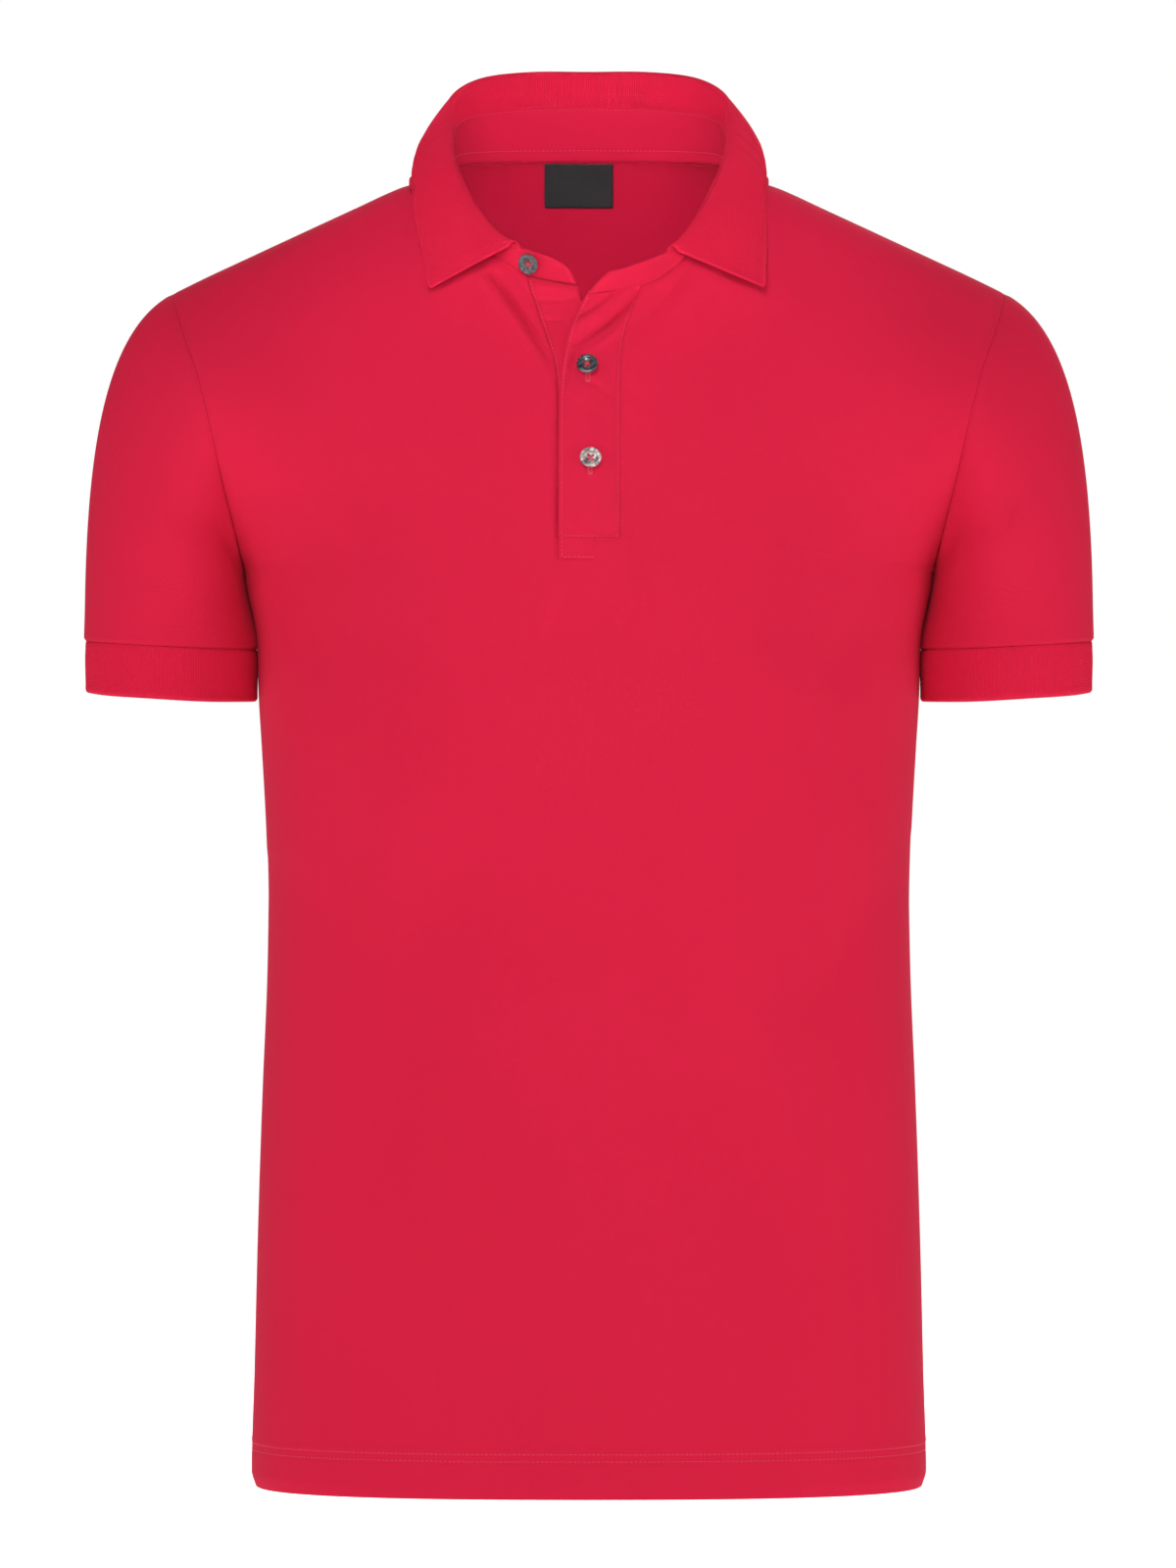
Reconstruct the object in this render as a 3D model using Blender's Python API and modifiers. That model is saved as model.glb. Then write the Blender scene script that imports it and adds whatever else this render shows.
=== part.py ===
"""A short-sleeved polo shirt, filled out and hollow, with its collar folded and its neck unbuttoned.

The origin is the middle of the neck base. +Z is up, the front faces -Y, and the wearer's left is +X.
Tables and sizes are in millimetres, and the finished meshes are in metres.
"""

import math

import bmesh
import bpy
from mathutils import Matrix, Vector

MM = 0.001

# Cloth and seams
CLOTH = 1.6            # pique of the body, sleeves, stand and plackets
RIB = 1.8              # flat-knitted collar and cuffs
LABEL = 1.0            # woven label
SEAM = 0.4             # what two pieces are apart where they are sewn together
ARMHOLE_SEAM = 0.8     # and at the armhole, where the seam bends most
LAP = 0.5              # what a piece is apart from the one it lies on

# Body
SQUARENESS = 2.3       # exponent of the level sections: 2 is an ellipse, more is squarer
UNDERARM_Z = -222.0
TIP_Z = -67.6          # shoulder tip
TIP_X = 229.0
NECK_X = 78.0          # neck point, where the shoulder seam meets the collar
NECK_SAG = 4.5         # how much lower the wearer's left side of the front neck hangs,
SAG_START = 120.0      # from this turn in degrees from the middle of the back, and fully so after
SAG_SPAN = 35.0        # so many degrees more
HEM_Z = -722.5         # hem at the side seams
HEM_RISE = 1.2         # the hem's rise to the middle of the front
HEM_DROP = 3.0         # its drop to the middle of the back
HEM_LEVEL = 8.0        # how far above the hem the columns that reach it are spaced

# Placket and its slot in the front
SLOT_BASE_Z = -206.0
PLACKET_BASE_Z = -217.8
PLACKET_OUT = 2.4      # outer face of the upper placket, out from the front
PLACKET_DROP = 1.1     # its top edge, down from the neck seam
UNDER_TOP_RIGHT = -33.5       # the under placket's top corners
UNDER_TOP_FREE = -6.0
UNDER_FREE = 15.0      # its free edge, as far up as the place where the neck's opening starts to turn it
UNDER_TURN_Z = -130.0
UNDER_TURNED_Z = -64.0

# Cuffs
CUFF_X = 229.6
CUFF_Y = -18.0
CUFF_TOP_Z = -261.2
CUFF_BASE_Z = -289.6
CUFF_RADIUS = 46.4
CUFF_SLANT = 2.3       # how much higher the outer side is than the middle
CUFF_SAG = 1.5         # how much lower the front is than the sides
SLEEVE_EASE = 0.6      # how much wider the sleeve ends than the cuff, on its radius
SLEEVE_ROOT_X = 205.0  # the sleeve's middle line at the shoulder tip

# Collar
FOLD_RADIUS = 3.0
FOLD_TURN = 150.0      # how far round the fold's arc goes, in degrees
CROWN_PLACE = 0.45     # share of the fall at which it is fullest
STAND_FOOT = 0.9       # the stand's lower edge, up from the neck seam
STAND_BOW = 0.6
STAND_LAP = 2.0        # how far the stand's left end stands out, with the upper placket
LAP_START = 152.0      # from this turn, and fully so after
LAP_SPAN = 18.0        # so many degrees more
STAND_DIP = 0.26       # share of its height that the left end loses to its top corner
DIP_START = 154.0
DIP_SPAN = 20.0
STAND_ROUND = 20.0     # degrees over which its right end is rounded off,
STAND_ROUNDNESS = 2.4  # with this exponent, where 2 is an ellipse,
STAND_TIP = 0.06       # down to this share of its height
LEAF_LIFT = 1.0        # how far the leaf's inner face stays out from the shoulders and chest
STAND_END_LEFT = 180.4        # turns of the front ends, in degrees from the middle of the back
STAND_END_LEFT_TOP = 173.5
STAND_END_RIGHT = 174.4
LEAF_END_LEFT = 152.0
LEAF_END_RIGHT = 156.0
LEAF_SWING = 4.0       # how far the leaf's points lie to the wearer's left of an even place
SWING_START = 100.0
SWING_SPAN = 50.0

# Neck label
LABEL_RIGHT = -25.0
LABEL_LEFT = 13.5
LABEL_LOW = -14.5
LABEL_HIGH = 7.8

# Buttons
BUTTON_RADIUS = 5.8
BUTTON_HEIGHT = 2.6
HOLE_RADIUS = 0.75
HOLE_PITCH = 1.35      # each hole's distance from the middle, across and along

# Mesh density, how far up the yoke its rows are even, and how near the top edge the last one but one comes
EVEN_TO = 0.87
NEXT_TO_SEAM_NECK = 0.935
NEXT_TO_SEAM_SHOULDER = 0.975
BODY_ROWS = 12
HEM_ROWS = (0.0, 0.012, 0.04)
UNDERARM_ROWS = (0.92, 0.957, 0.98, 1.0)
YOKE_ROWS = 13
SIDE_COLUMNS = 15
NECK_COLUMNS = 7        # of them, those that end at the neck seam
SLOT_COLUMNS = 3
TURN_TO_SEAM = 0.2     # share of the way across after which the last rows turn along the shoulder seam,
TURN_FROM_EDGE = 0.15  # and share of it before the side edge over which they turn back to even heights
SLEEVE_AROUND = 26
SLEEVE_ALONG = 9
LEAF_COLUMNS = 46
LEAF_INSIDE = 2        # rows up the inside, over the fold and down the fall
LEAF_FOLD = 4
LEAF_FALL = 5
STAND_COLUMNS = 44
STAND_ROWS = 3
PLACKET_COLUMNS = 4
PLACKET_ROWS = 18
LABEL_COLUMNS = 4
LABEL_ROWS = 3


class Table:
    """Rows of sizes that are read smoothly at any place between them."""

    def __init__(self, columns, *rows):
        self.columns = columns.split()
        self.rows = rows

    def at(self, place, column):
        k = self.columns.index(column)
        rows = self.rows
        if place <= rows[0][0]:
            return rows[0][k]
        if place >= rows[-1][0]:
            return rows[-1][k]
        i = next(n for n in range(1, len(rows)) if place <= rows[n][0])
        before, after = rows[i - 1], rows[i]
        span = after[0] - before[0]
        share = (place - before[0]) / span
        start = self.slope(i - 1, k) * span
        end = self.slope(i, k) * span
        rise = after[k] - before[k]
        return before[k] + share * (start + share * (3 * rise - 2 * start - end
                                                     + share * (start + end - 2 * rise)))

    def slope(self, i, k):
        low = self.rows[max(i - 1, 0)]
        high = self.rows[min(i + 1, len(self.rows) - 1)]
        return (high[k] - low[k]) / (high[0] - low[0])


# The body below the underarm, at heights: half its width, its reach forward and back of the side seam,
# and the side seam's own place
BODY = Table(
    "height half_width front  back  seam_y",
    (-726.0, 181.0, 112.0, 107.0, -13.0),
    (-720.0, 183.2, 113.0, 107.6, -13.0),
    (-714.0, 184.8, 113.5, 108.0, -13.0),
    (-661.0, 183.3, 114.5, 107.5, -13.5),
    (-608.0, 182.0, 115.0, 106.0, -14.0),
    (-553.0, 180.4, 115.0, 103.5, -14.5),
    (-500.0, 178.5, 115.5, 101.5, -15.0),
    (-446.0, 176.2, 117.0, 101.0, -15.0),
    (-405.0, 175.6, 119.5, 102.5, -15.0),
    (-364.0, 176.6, 123.0, 106.0, -15.0),
    (-316.0, 179.2, 126.5, 111.0, -15.0),
    (-290.0, 180.8, 128.0, 114.0, -15.0),
    (-263.0, 181.6, 128.0, 115.5, -14.5),
    (-253.0, 182.6, 128.0, 116.0, -14.2),
    (-243.0, 184.7, 128.0, 116.5, -14.0),
    (-232.0, 187.1, 128.0, 117.0, -13.5),
    (-222.0, 188.5, 128.0, 117.5, -13.0),
    (-150.0, 188.5, 128.0, 118.0, -7.0),
    (-70.0, 188.5, 128.0, 118.0, 2.0),
    (0.0, 188.5, 128.0, 118.0, 7.0),
)

# Above the underarm, at heights: the armhole seam's place on the front and the back, and how quickly
# the level sections still turn to the side, as 1000 over their half width
YOKE = Table(
    "height  front   back    bend",
    (-222.0, 188.50, 188.50, 5.305),
    (-216.0, 189.70, 190.20, 5.225),
    (-192.0, 195.00, 197.00, 4.740),
    (-175.0, 199.00, 202.50, 4.200),
    (-150.0, 204.30, 209.50, 3.050),
    (-128.0, 209.50, 215.50, 1.750),
    (-112.0, 214.00, 219.00, 1.000),
    (-91.0, 221.80, 223.80, 0.300),
    (-75.0, 227.00, 227.60, 0.050),
    (-67.6, 229.00, 229.00, 0.010),
)

# The shoulder line, at distances from the middle. Inside the neck point it rises as a neck does, and only
# gives the panels their slope there. Lower down the cloth spans that hollow, as the second height says
SHOULDER = Table(
    "across height  below",
    (0.0, 58.0, 46.0),
    (30.0, 50.5, 38.5),
    (45.0, 41.0, 31.0),
    (60.0, 28.0, 22.5),
    (70.0, 15.5, 16.8),
    (75.0, 8.0, 13.8),
    (78.0, 0.0, 12.0),
    (82.0, -3.2, 9.6),
    (87.0, -4.6, 6.6),
    (95.0, -6.2, 2.0),
    (106.0, -9.8, -4.4),
    (130.0, -20.9, -18.0),
    (158.0, -33.9, -33.0),
    (186.0, -47.0, -47.0),
    (212.0, -59.2, -59.2),
    (229.0, -67.6, -67.6),
)
SPAN_START = 12.0      # depths below the shoulder line where the cloth starts and ends leaving it
SPAN_END = 150.0

# The height of the neck seam, at turns in degrees from the middle of the back
NECK = Table(
    "turn  height",
    (0.0, 10.0),
    (36.0, 8.9),
    (64.0, 5.9),
    (78.0, 2.0),
    (84.0, 0.35),
    (90.0, 0.0),
    (98.0, -6.5),
    (106.0, -15.0),
    (127.0, -38.0),
    (145.0, -54.5),
    (158.0, -62.5),
    (180.0, -68.0),
)

# How the cloth leaves the shoulder line: the share of its full reach, at roots of the drop below it
FALL = Table(
    "root front  back",
    (0.0, 0.000, 0.000),
    (1.6, 0.075, 0.125),
    (3.2, 0.150, 0.255),
    (4.8, 0.235, 0.385),
    (6.3, 0.335, 0.480),
    (7.9, 0.440, 0.565),
    (9.7, 0.550, 0.665),
    (11.4, 0.665, 0.765),
    (13.0, 0.790, 0.855),
    (14.5, 0.900, 0.930),
    (16.2, 0.978, 0.985),
    (18.0, 1.000, 1.000),
)

# The slot's edges in the front, at heights: the wearer's right and left
SLOT = Table(
    "height right left",
    (-206.0, 17.0, 16.6),
    (-130.0, 16.8, 16.6),
    (-110.0, 18.6, 16.8),
    (-97.0, 22.7, 18.2),
    (-79.0, 28.6, 23.6),
    (-66.0, 32.6, 28.2),
    (-60.0, 33.8, 28.2),
)

# The upper placket's edges, at heights: the free edge and the sewn one
UPPER_PLACKET = Table(
    "height  free   sewn",
    (-217.8, -16.4, 17.2),
    (-150.0, -16.4, 17.2),
    (-132.0, -16.2, 17.2),
    (-115.0, -15.0, 17.5),
    (-98.8, -11.9, 18.9),
    (-85.0, -7.6, 22.6),
    (-72.4, -0.6, 27.4),
)

# The collar, at turns from the middle of the back: its fold, its outer edge, the fall's crown, the stand's
# share of the way from the neck seam to the fold, and the gap from the stand to the rib collar's foot
COLLAR = Table(
    "turn  fold_x fold_y fold_z edge_x edge_y edge_z crown stand gap",
    (0.0, 0.0, 70.0, 61.5, 0.0, 84.0, 1.0, 3.0, 0.60, 0.40),
    (24.0, 33.5, 68.5, 61.3, 38.0, 81.5, 1.0, 3.0, 0.60, 0.40),
    (46.0, 59.0, 59.5, 57.0, 72.0, 67.0, -1.0, 6.0, 0.60, 0.40),
    (66.0, 72.0, 42.0, 46.5, 92.0, 42.0, -5.0, 9.0, 0.65, 0.40),
    (86.0, 75.5, 20.0, 29.0, 99.0, 11.0, -6.5, 8.0, 0.72, 0.50),
    (106.0, 73.0, -10.0, 8.0, 100.5, -17.0, -19.0, 6.0, 0.60, 0.50),
    (124.0, 64.5, -36.0, -13.0, 99.0, -39.0, -40.0, 4.0, 0.62, 0.50),
    (140.0, 53.5, -58.0, -31.0, 95.5, -56.0, -57.0, 3.0, 0.72, 0.50),
    (154.0, 41.0, -72.0, -41.5, 90.0, -65.0, -68.6, 2.0, 0.80, 0.40),
    (167.0, 21.0, -81.0, -47.0, 60.0, -72.0, -68.6, 2.0, 0.82, 0.40),
    (181.0, 0.0, -86.0, -49.0, 30.0, -77.0, -68.6, 2.0, 0.84, 0.40),
)

# The sleeve's lines from armhole to cuff, at its turn: under the arm, front or back, and over the top.
# Each line leaves the armhole along its start direction and meets the cuff straight
SLEEVE = Table(
    "turn   start  end   out    forth  down",
    (-1.0, 13.0, 13.0, 0.06, 0.00, -1.00),
    (0.0, 35.0, 44.0, 0.62, 0.08, -0.78),
    (1.0, 46.0, 92.0, 0.89, 0.00, -0.46),
)

BUTTONS = Table(
    "place across height",
    (0, -29.0, -52.0),
    (1, -0.5, -113.3),
    (2, 0.6, -164.0),
)


# ---------------------------------------------------------------- the garment's surfaces

def blend(low, high, share):
    return low + (high - low) * share


def ease(share):
    share = min(max(share, 0.0), 1.0)
    return share * share * (3.0 - 2.0 * share)


def bend(z):
    """How quickly a level section turns to the side, as 1 over its half width."""
    if z <= UNDERARM_Z:
        return 1.0 / BODY.at(z, "half_width")
    return YOKE.at(z, "bend") / 1000.0


def side_edge(z, face):
    """The panel's side edge at a height: side seam below the underarm, armhole above it."""
    if z <= UNDERARM_Z:
        return BODY.at(z, "half_width")
    return YOKE.at(z, face)


def panel_y(x, z, face):
    """The place of the front's or the back's outer face at a point of the front view."""
    depth = SHOULDER.at(abs(x), "height") - z
    spanned = ease((depth - SPAN_START) / (SPAN_END - SPAN_START))
    line = blend(SHOULDER.at(abs(x), "height"), SHOULDER.at(abs(x), "below"), spanned)
    drop = max(line - z, 0.0)
    fall = FALL.at(math.sqrt(drop), face)
    turn = min(abs(x) * bend(z), 1.0)
    section = (1.0 - turn ** SQUARENESS) ** (1.0 / SQUARENESS)
    reach = BODY.at(z, face) * fall * section
    return BODY.at(z, "seam_y") + (reach if face == "back" else -reach)


def panel_normal(x, z, face):
    step = 0.5
    across = panel_y(x + step, z, face) - panel_y(x - step, z, face)
    up = panel_y(x, z + step, face) - panel_y(x, z - step, face)
    sign = 1.0 if face == "back" else -1.0
    return Vector((-across * sign, 2 * step * sign, -up * sign)).normalized()


def on_panel(x, z, face, out=0.0):
    return Vector((x, panel_y(x, z, face), z)) + panel_normal(x, z, face) * out


def neck_sag(turn):
    """How much lower the front neck hangs on the wearer's left, where turns are positive."""
    return NECK_SAG * ease((turn - SAG_START) / SAG_SPAN)


def neck_z(turn):
    return NECK.at(abs(turn), "height") - neck_sag(turn)


def neck_seam(turn):
    """The neck seam, at a turn in degrees from the middle of the back to the middle of the front."""
    x = NECK_X * math.sin(math.radians(turn))
    z = neck_z(turn)
    return Vector((x, panel_y(x, z, "back" if abs(turn) <= 90.0 else "front"), z))


def neck_front_z(x, side):
    """The neck seam's height at a place across the front, on the wearer's right or left."""
    return neck_z(side * (180.0 - math.degrees(math.asin(abs(x) / NECK_X))))


def armhole(turn):
    """The left armhole seam: 90 is the shoulder tip, 0 the front, -90 the underarm, 180 the back."""
    angle = math.radians(turn)
    half = (TIP_Z - UNDERARM_Z) / 2
    z = UNDERARM_Z + half + half * math.sin(angle)
    face = "front" if math.cos(angle) >= 0 else "back"
    x = side_edge(z, face)
    return Vector((x, panel_y(x, z, face), z))


# ---------------------------------------------------------------- panels

def slot_edge(z, side):
    """The front's inner edge beside the placket's slot."""
    return SLOT.at(z, "left" if side > 0 else "right")


def top_edge(across, face, side):
    """A panel's top edge, from the middle or the slot to the shoulder tip, as x and z."""
    neck_share = NECK_COLUMNS / SIDE_COLUMNS
    if across < neck_share:
        share = across / neck_share
        if face == "back":
            turn = 90.0 * share
        else:
            turn = blend(180.0 - math.degrees(math.asin(slot_edge(0.0, side) / NECK_X)), 90.0, share)
        return NECK_X * math.sin(math.radians(turn)), neck_z(turn * side)
    x = blend(NECK_X, TIP_X, (across - neck_share) / (1.0 - neck_share))
    return x, SHOULDER.at(x, "height")


def inner_edge(z, face, side):
    return slot_edge(z, side) if face == "front" else 0.0


def level_x(across, z, face, side):
    """Even steps round a level section, from the panel's inner edge to its side edge."""
    turn = bend(z)
    power = SQUARENESS / 2.0
    first = math.asin(min((inner_edge(z, face, side) * turn) ** power, 1.0))
    last = math.asin(min((side_edge(z, face) * turn) ** power, 1.0))
    return math.sin(blend(first, last, across)) ** (1.0 / power) / turn


def hem_z(x, face):
    middle = 1.0 - (x / BODY.at(HEM_Z, "half_width")) ** 2
    return HEM_Z + (HEM_RISE if face == "front" else -HEM_DROP) * middle


def yoke_row(across, row):
    """Rows up the yoke, with a last narrow one that lies flat along the shoulder seam."""
    step = row * YOKE_ROWS
    even = YOKE_ROWS - 2
    narrow = blend(NEXT_TO_SEAM_NECK, NEXT_TO_SEAM_SHOULDER, ease(across / TURN_TO_SEAM - 1.0))
    if step <= even:
        return EVEN_TO * step / even
    if step <= even + 1:
        return blend(EVEN_TO, narrow, step - even)
    return blend(narrow, 1.0, step - even - 1)


def panel_point(across, row, face, side):
    """A point of half a panel. Rows run from 0 at the hem to 1 at the underarm and 2 at the top."""
    base = blend(SLOT_BASE_Z, UNDERARM_Z, ease(across)) if face == "front" else UNDERARM_Z
    if row <= 1.0:
        hem = hem_z(level_x(across, HEM_Z + HEM_LEVEL, face, side), face)
        z = blend(hem, base, row)
        x = level_x(across, z, face, side)
        if z > UNDERARM_Z:
            x = blend(level_x(across, UNDERARM_Z, face, side), x, 1.0 if across < 0.98 else 0.0)
    else:
        share = yoke_row(across, row - 1.0)
        climb = 1.0 - (1.0 - share) ** 2
        side_z = blend(UNDERARM_Z, TIP_Z, climb)
        top_x, top_z = top_edge(across, face, side)
        top_first = top_edge(0.0, face, side)[0]
        edge = side_edge(side_z, face)
        low_z = blend(base, top_z, climb)
        inner = inner_edge(low_z, face, side)
        level = (level_x(across, side_z, face, side) - inner_edge(side_z, face, side))
        level /= edge - inner_edge(side_z, face, side)
        top = (top_x - top_first) / (TIP_X - top_first)
        x = inner + (edge - inner) * blend(level, top, ease(share))
        lift = SHOULDER.at(x, "height") - SHOULDER.at(top_x, "height")
        lift *= ease(across / TURN_TO_SEAM - 1.0) * ease((1.0 - across) / TURN_FROM_EDGE)
        z = blend(base, top_z + lift, climb)
    return Vector((side * x, panel_y(x, z, face), z))


# ---------------------------------------------------------------- building

def colour(red, green, blue):
    """A colour given as it looks, turned to the linear value a shader takes."""
    def linear(value):
        value /= 255.0
        return value / 12.92 if value <= 0.04045 else ((value + 0.055) / 1.055) ** 2.4
    return (linear(red), linear(green), linear(blue), 1.0)


def material(name, base, roughness):
    made = bpy.data.materials.new(name)
    made.use_nodes = True
    shader = made.node_tree.nodes["Principled BSDF"]
    shader.inputs["Base Color"].default_value = base
    shader.inputs["Roughness"].default_value = roughness
    shader.inputs["Metallic"].default_value = 0.0
    return made


def clear_scene():
    for thing in list(bpy.data.objects):
        bpy.data.objects.remove(thing)


def add_object(name, bm, finish, collection):
    mesh = bpy.data.meshes.new(name)
    bm.to_mesh(mesh)
    bm.free()
    mesh.shade_smooth()
    mesh.materials.append(finish)
    thing = bpy.data.objects.new(name, mesh)
    collection.objects.link(thing)
    return thing


def add_wall(thing, thickness):
    """Give an open sheet its thickness, inward from its outer face."""
    wall = thing.modifiers.new("Wall", "SOLIDIFY")
    wall.thickness = thickness * MM
    wall.offset = -1.0
    wall.use_rim = True
    return wall


def grid(columns, rows, place, keep=None, closed=False):
    """A sheet of columns by rows whose points are given by place(column, row), in millimetres."""
    bm = bmesh.new()
    bmesh.ops.create_grid(bm, x_segments=columns, y_segments=rows, size=0.5)
    address = {v: (round((v.co.x + 0.5) * columns), round((v.co.y + 0.5) * rows)) for v in bm.verts}
    if keep is not None:
        gone = []
        for face in bm.faces:
            column = min(address[v][0] for v in face.verts)
            row = min(address[v][1] for v in face.verts)
            if not keep(column, row):
                gone.append(face)
        bmesh.ops.delete(bm, geom=gone, context="FACES")
    for v in bm.verts:
        v.co = place(*address[v]) * MM
    if closed:
        bmesh.ops.remove_doubles(bm, verts=bm.verts, dist=0.00001)
    return bm


def turn_out(bm, inside):
    """Face the whole sheet away from the points that inside(point) gives, in metres."""
    total = 0.0
    bm.normal_update()
    for face in bm.faces:
        middle = face.calc_center_median()
        total += face.normal.dot(middle - inside(middle)) * face.calc_area()
    if total < 0.0:
        bmesh.ops.reverse_faces(bm, faces=bm.faces)


def body_row(row):
    """Rows up the body, closer together at the turned hem and under the arm."""
    if row < len(HEM_ROWS):
        return HEM_ROWS[row]
    if row > BODY_ROWS - len(UNDERARM_ROWS):
        return UNDERARM_ROWS[row - BODY_ROWS - 1]
    between = BODY_ROWS - len(HEM_ROWS) - len(UNDERARM_ROWS) + 2
    return blend(HEM_ROWS[-1], UNDERARM_ROWS[0], (row - len(HEM_ROWS) + 1) / between)


def torso_middle(point):
    return Vector((0.0, 0.0, point.z))


def make_front(finish, collection):
    columns = 2 * SIDE_COLUMNS + SLOT_COLUMNS
    shift = Vector((0.0, -SEAM / 2, 0.0))

    def place(column, row):
        height = body_row(row) if row <= BODY_ROWS else 1.0 + (row - BODY_ROWS) / YOKE_ROWS
        if column <= SIDE_COLUMNS:
            return panel_point(1.0 - column / SIDE_COLUMNS, height, "front", -1) + shift
        if column >= SIDE_COLUMNS + SLOT_COLUMNS:
            share = (column - SIDE_COLUMNS - SLOT_COLUMNS) / SIDE_COLUMNS
            return panel_point(share, height, "front", 1) + shift
        right = panel_point(0.0, height, "front", -1)
        left = panel_point(0.0, height, "front", 1)
        between = right.lerp(left, (column - SIDE_COLUMNS) / SLOT_COLUMNS)
        return Vector((between.x, panel_y(between.x, between.z, "front"), between.z)) + shift

    def keep(column, row):
        in_slot = SIDE_COLUMNS <= column < SIDE_COLUMNS + SLOT_COLUMNS
        return not (in_slot and row >= BODY_ROWS)

    bm = grid(columns, BODY_ROWS + YOKE_ROWS, place, keep)
    turn_out(bm, torso_middle)
    add_wall(add_object("front_panel", bm, finish, collection), CLOTH)


def make_back(finish, collection):
    columns = 2 * SIDE_COLUMNS
    shift = Vector((0.0, SEAM / 2, 0.0))

    def place(column, row):
        height = body_row(row) if row <= BODY_ROWS else 1.0 + (row - BODY_ROWS) / YOKE_ROWS
        side = -1 if column < SIDE_COLUMNS else 1
        return panel_point(abs(column - SIDE_COLUMNS) / SIDE_COLUMNS, height, "back", side) + shift

    bm = grid(columns, BODY_ROWS + YOKE_ROWS, place)
    turn_out(bm, torso_middle)
    add_wall(add_object("back_panel", bm, finish, collection), CLOTH)


# ---------------------------------------------------------------- sleeves and cuffs

def cuff_ring(turn, radius, height):
    """A point of the left cuff's ring: turn as on the armhole, so that 90 is the outer side."""
    angle = math.radians(turn)
    sag = CUFF_SAG * abs(math.cos(angle))
    return Vector((
        CUFF_X + radius * math.sin(angle),
        CUFF_Y - radius * math.cos(angle),
        height + CUFF_SLANT * math.sin(angle) - sag,
    ))


def sleeve_point(turn, along):
    """A point of the left sleeve, from the armhole at 0 to the cuff seam at 1."""
    angle = math.radians(turn)
    over = math.sin(angle)
    front = math.cos(angle)

    def value(column):
        low, middle, high = (row[SLEEVE.columns.index(column)] for row in SLEEVE.rows)
        return middle + over * (high - low) / 2 + over * over * ((high + low) / 2 - middle)

    start = armhole(turn) + Vector((ARMHOLE_SEAM, 0.0, 0.0))
    end = cuff_ring(turn, CUFF_RADIUS + SLEEVE_EASE, CUFF_TOP_Z)
    leave = Vector((value("out"), -value("forth") * front, value("down"))).normalized()
    first = start + leave * value("start")
    second = end + Vector((0.0, 0.0, value("end")))
    rest = 1.0 - along
    return (start * rest ** 3 + first * 3 * rest ** 2 * along
            + second * 3 * rest * along ** 2 + end * along ** 3)


def mirrored(point, side):
    return Vector((side * point.x, point.y, point.z))


def make_sleeve(name, side, finish, collection):
    def place(column, row):
        turn = -90.0 + 360.0 * column / SLEEVE_AROUND
        return mirrored(sleeve_point(turn, row / SLEEVE_ALONG), side)

    def middle(point):
        share = min(max((point.z / MM - TIP_Z) / (CUFF_TOP_Z - TIP_Z), 0.0), 1.0)
        return Vector((side * blend(SLEEVE_ROOT_X, CUFF_X, share) * MM, CUFF_Y * MM, point.z))

    bm = grid(SLEEVE_AROUND, SLEEVE_ALONG, place, closed=True)
    turn_out(bm, middle)
    add_wall(add_object(name, bm, finish, collection), CLOTH)


def make_cuff(name, side, finish, collection):
    rounding = Table("row height radius",
                     (0, CUFF_TOP_Z - SEAM, CUFF_RADIUS - 0.4),
                     (1, CUFF_TOP_Z - 4.0, CUFF_RADIUS),
                     (2, CUFF_BASE_Z + 4.0, CUFF_RADIUS),
                     (3, CUFF_BASE_Z, CUFF_RADIUS - 0.5))

    def place(column, row):
        turn = -90.0 + 360.0 * column / SLEEVE_AROUND
        return mirrored(cuff_ring(turn, rounding.at(row, "radius"), rounding.at(row, "height")), side)

    def middle(point):
        return Vector((side * CUFF_X * MM, CUFF_Y * MM, point.z))

    bm = grid(SLEEVE_AROUND, 3, place, closed=True)
    turn_out(bm, middle)
    add_wall(add_object(name, bm, finish, collection), RIB)


# ---------------------------------------------------------------- collar

def collar_value(turn, column):
    return COLLAR.at(abs(turn), column)


def fold_point(turn):
    side = -1 if turn < 0 else 1
    return Vector((side * collar_value(turn, "fold_x"), collar_value(turn, "fold_y"),
                   collar_value(turn, "fold_z") - neck_sag(turn)))


def leaf_edge(turn):
    side = -1 if turn < 0 else 1
    swing = LEAF_SWING * ease((abs(turn) - SWING_START) / SWING_SPAN)
    return Vector((side * collar_value(turn, "edge_x") + swing, collar_value(turn, "edge_y"),
                   collar_value(turn, "edge_z")))


def above_body(point, gap):
    """The point itself, or moved out from the shoulder so that it lies the gap above it."""
    face = "front" if point.y < BODY.at(point.z, "seam_y") else "back"
    low, high = -250.0, SHOULDER.at(abs(point.x), "height")
    for _ in range(24):
        middle = (low + high) / 2
        beyond = (panel_y(point.x, middle, face) - point.y) * (1.0 if face == "back" else -1.0)
        if beyond > 0.0:
            low = middle
        else:
            high = middle
    normal = panel_normal(point.x, low - 0.5, face)
    clearance = (point.z - low) * max(normal.z, 0.05)
    return point + normal * max(gap - clearance, 0.0)


def stand_top(turn):
    """The seam between the stand and the rib collar."""
    return neck_seam(turn).lerp(fold_point(turn), collar_value(turn, "stand"))


def stand_height(turn):
    """The stand's share of its full height, lower at its left end and rounded off at its right one."""
    if turn > 0:
        return 1.0 - STAND_DIP * ease((turn - DIP_START) / DIP_SPAN)
    short = (STAND_END_RIGHT - abs(turn)) / STAND_ROUND
    if short >= 1.0:
        return 1.0
    left_out = (1.0 - max(short, 0.0)) ** STAND_ROUNDNESS
    return blend(STAND_TIP, 1.0, max(1.0 - left_out, 0.0) ** (1 / STAND_ROUNDNESS))


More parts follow.
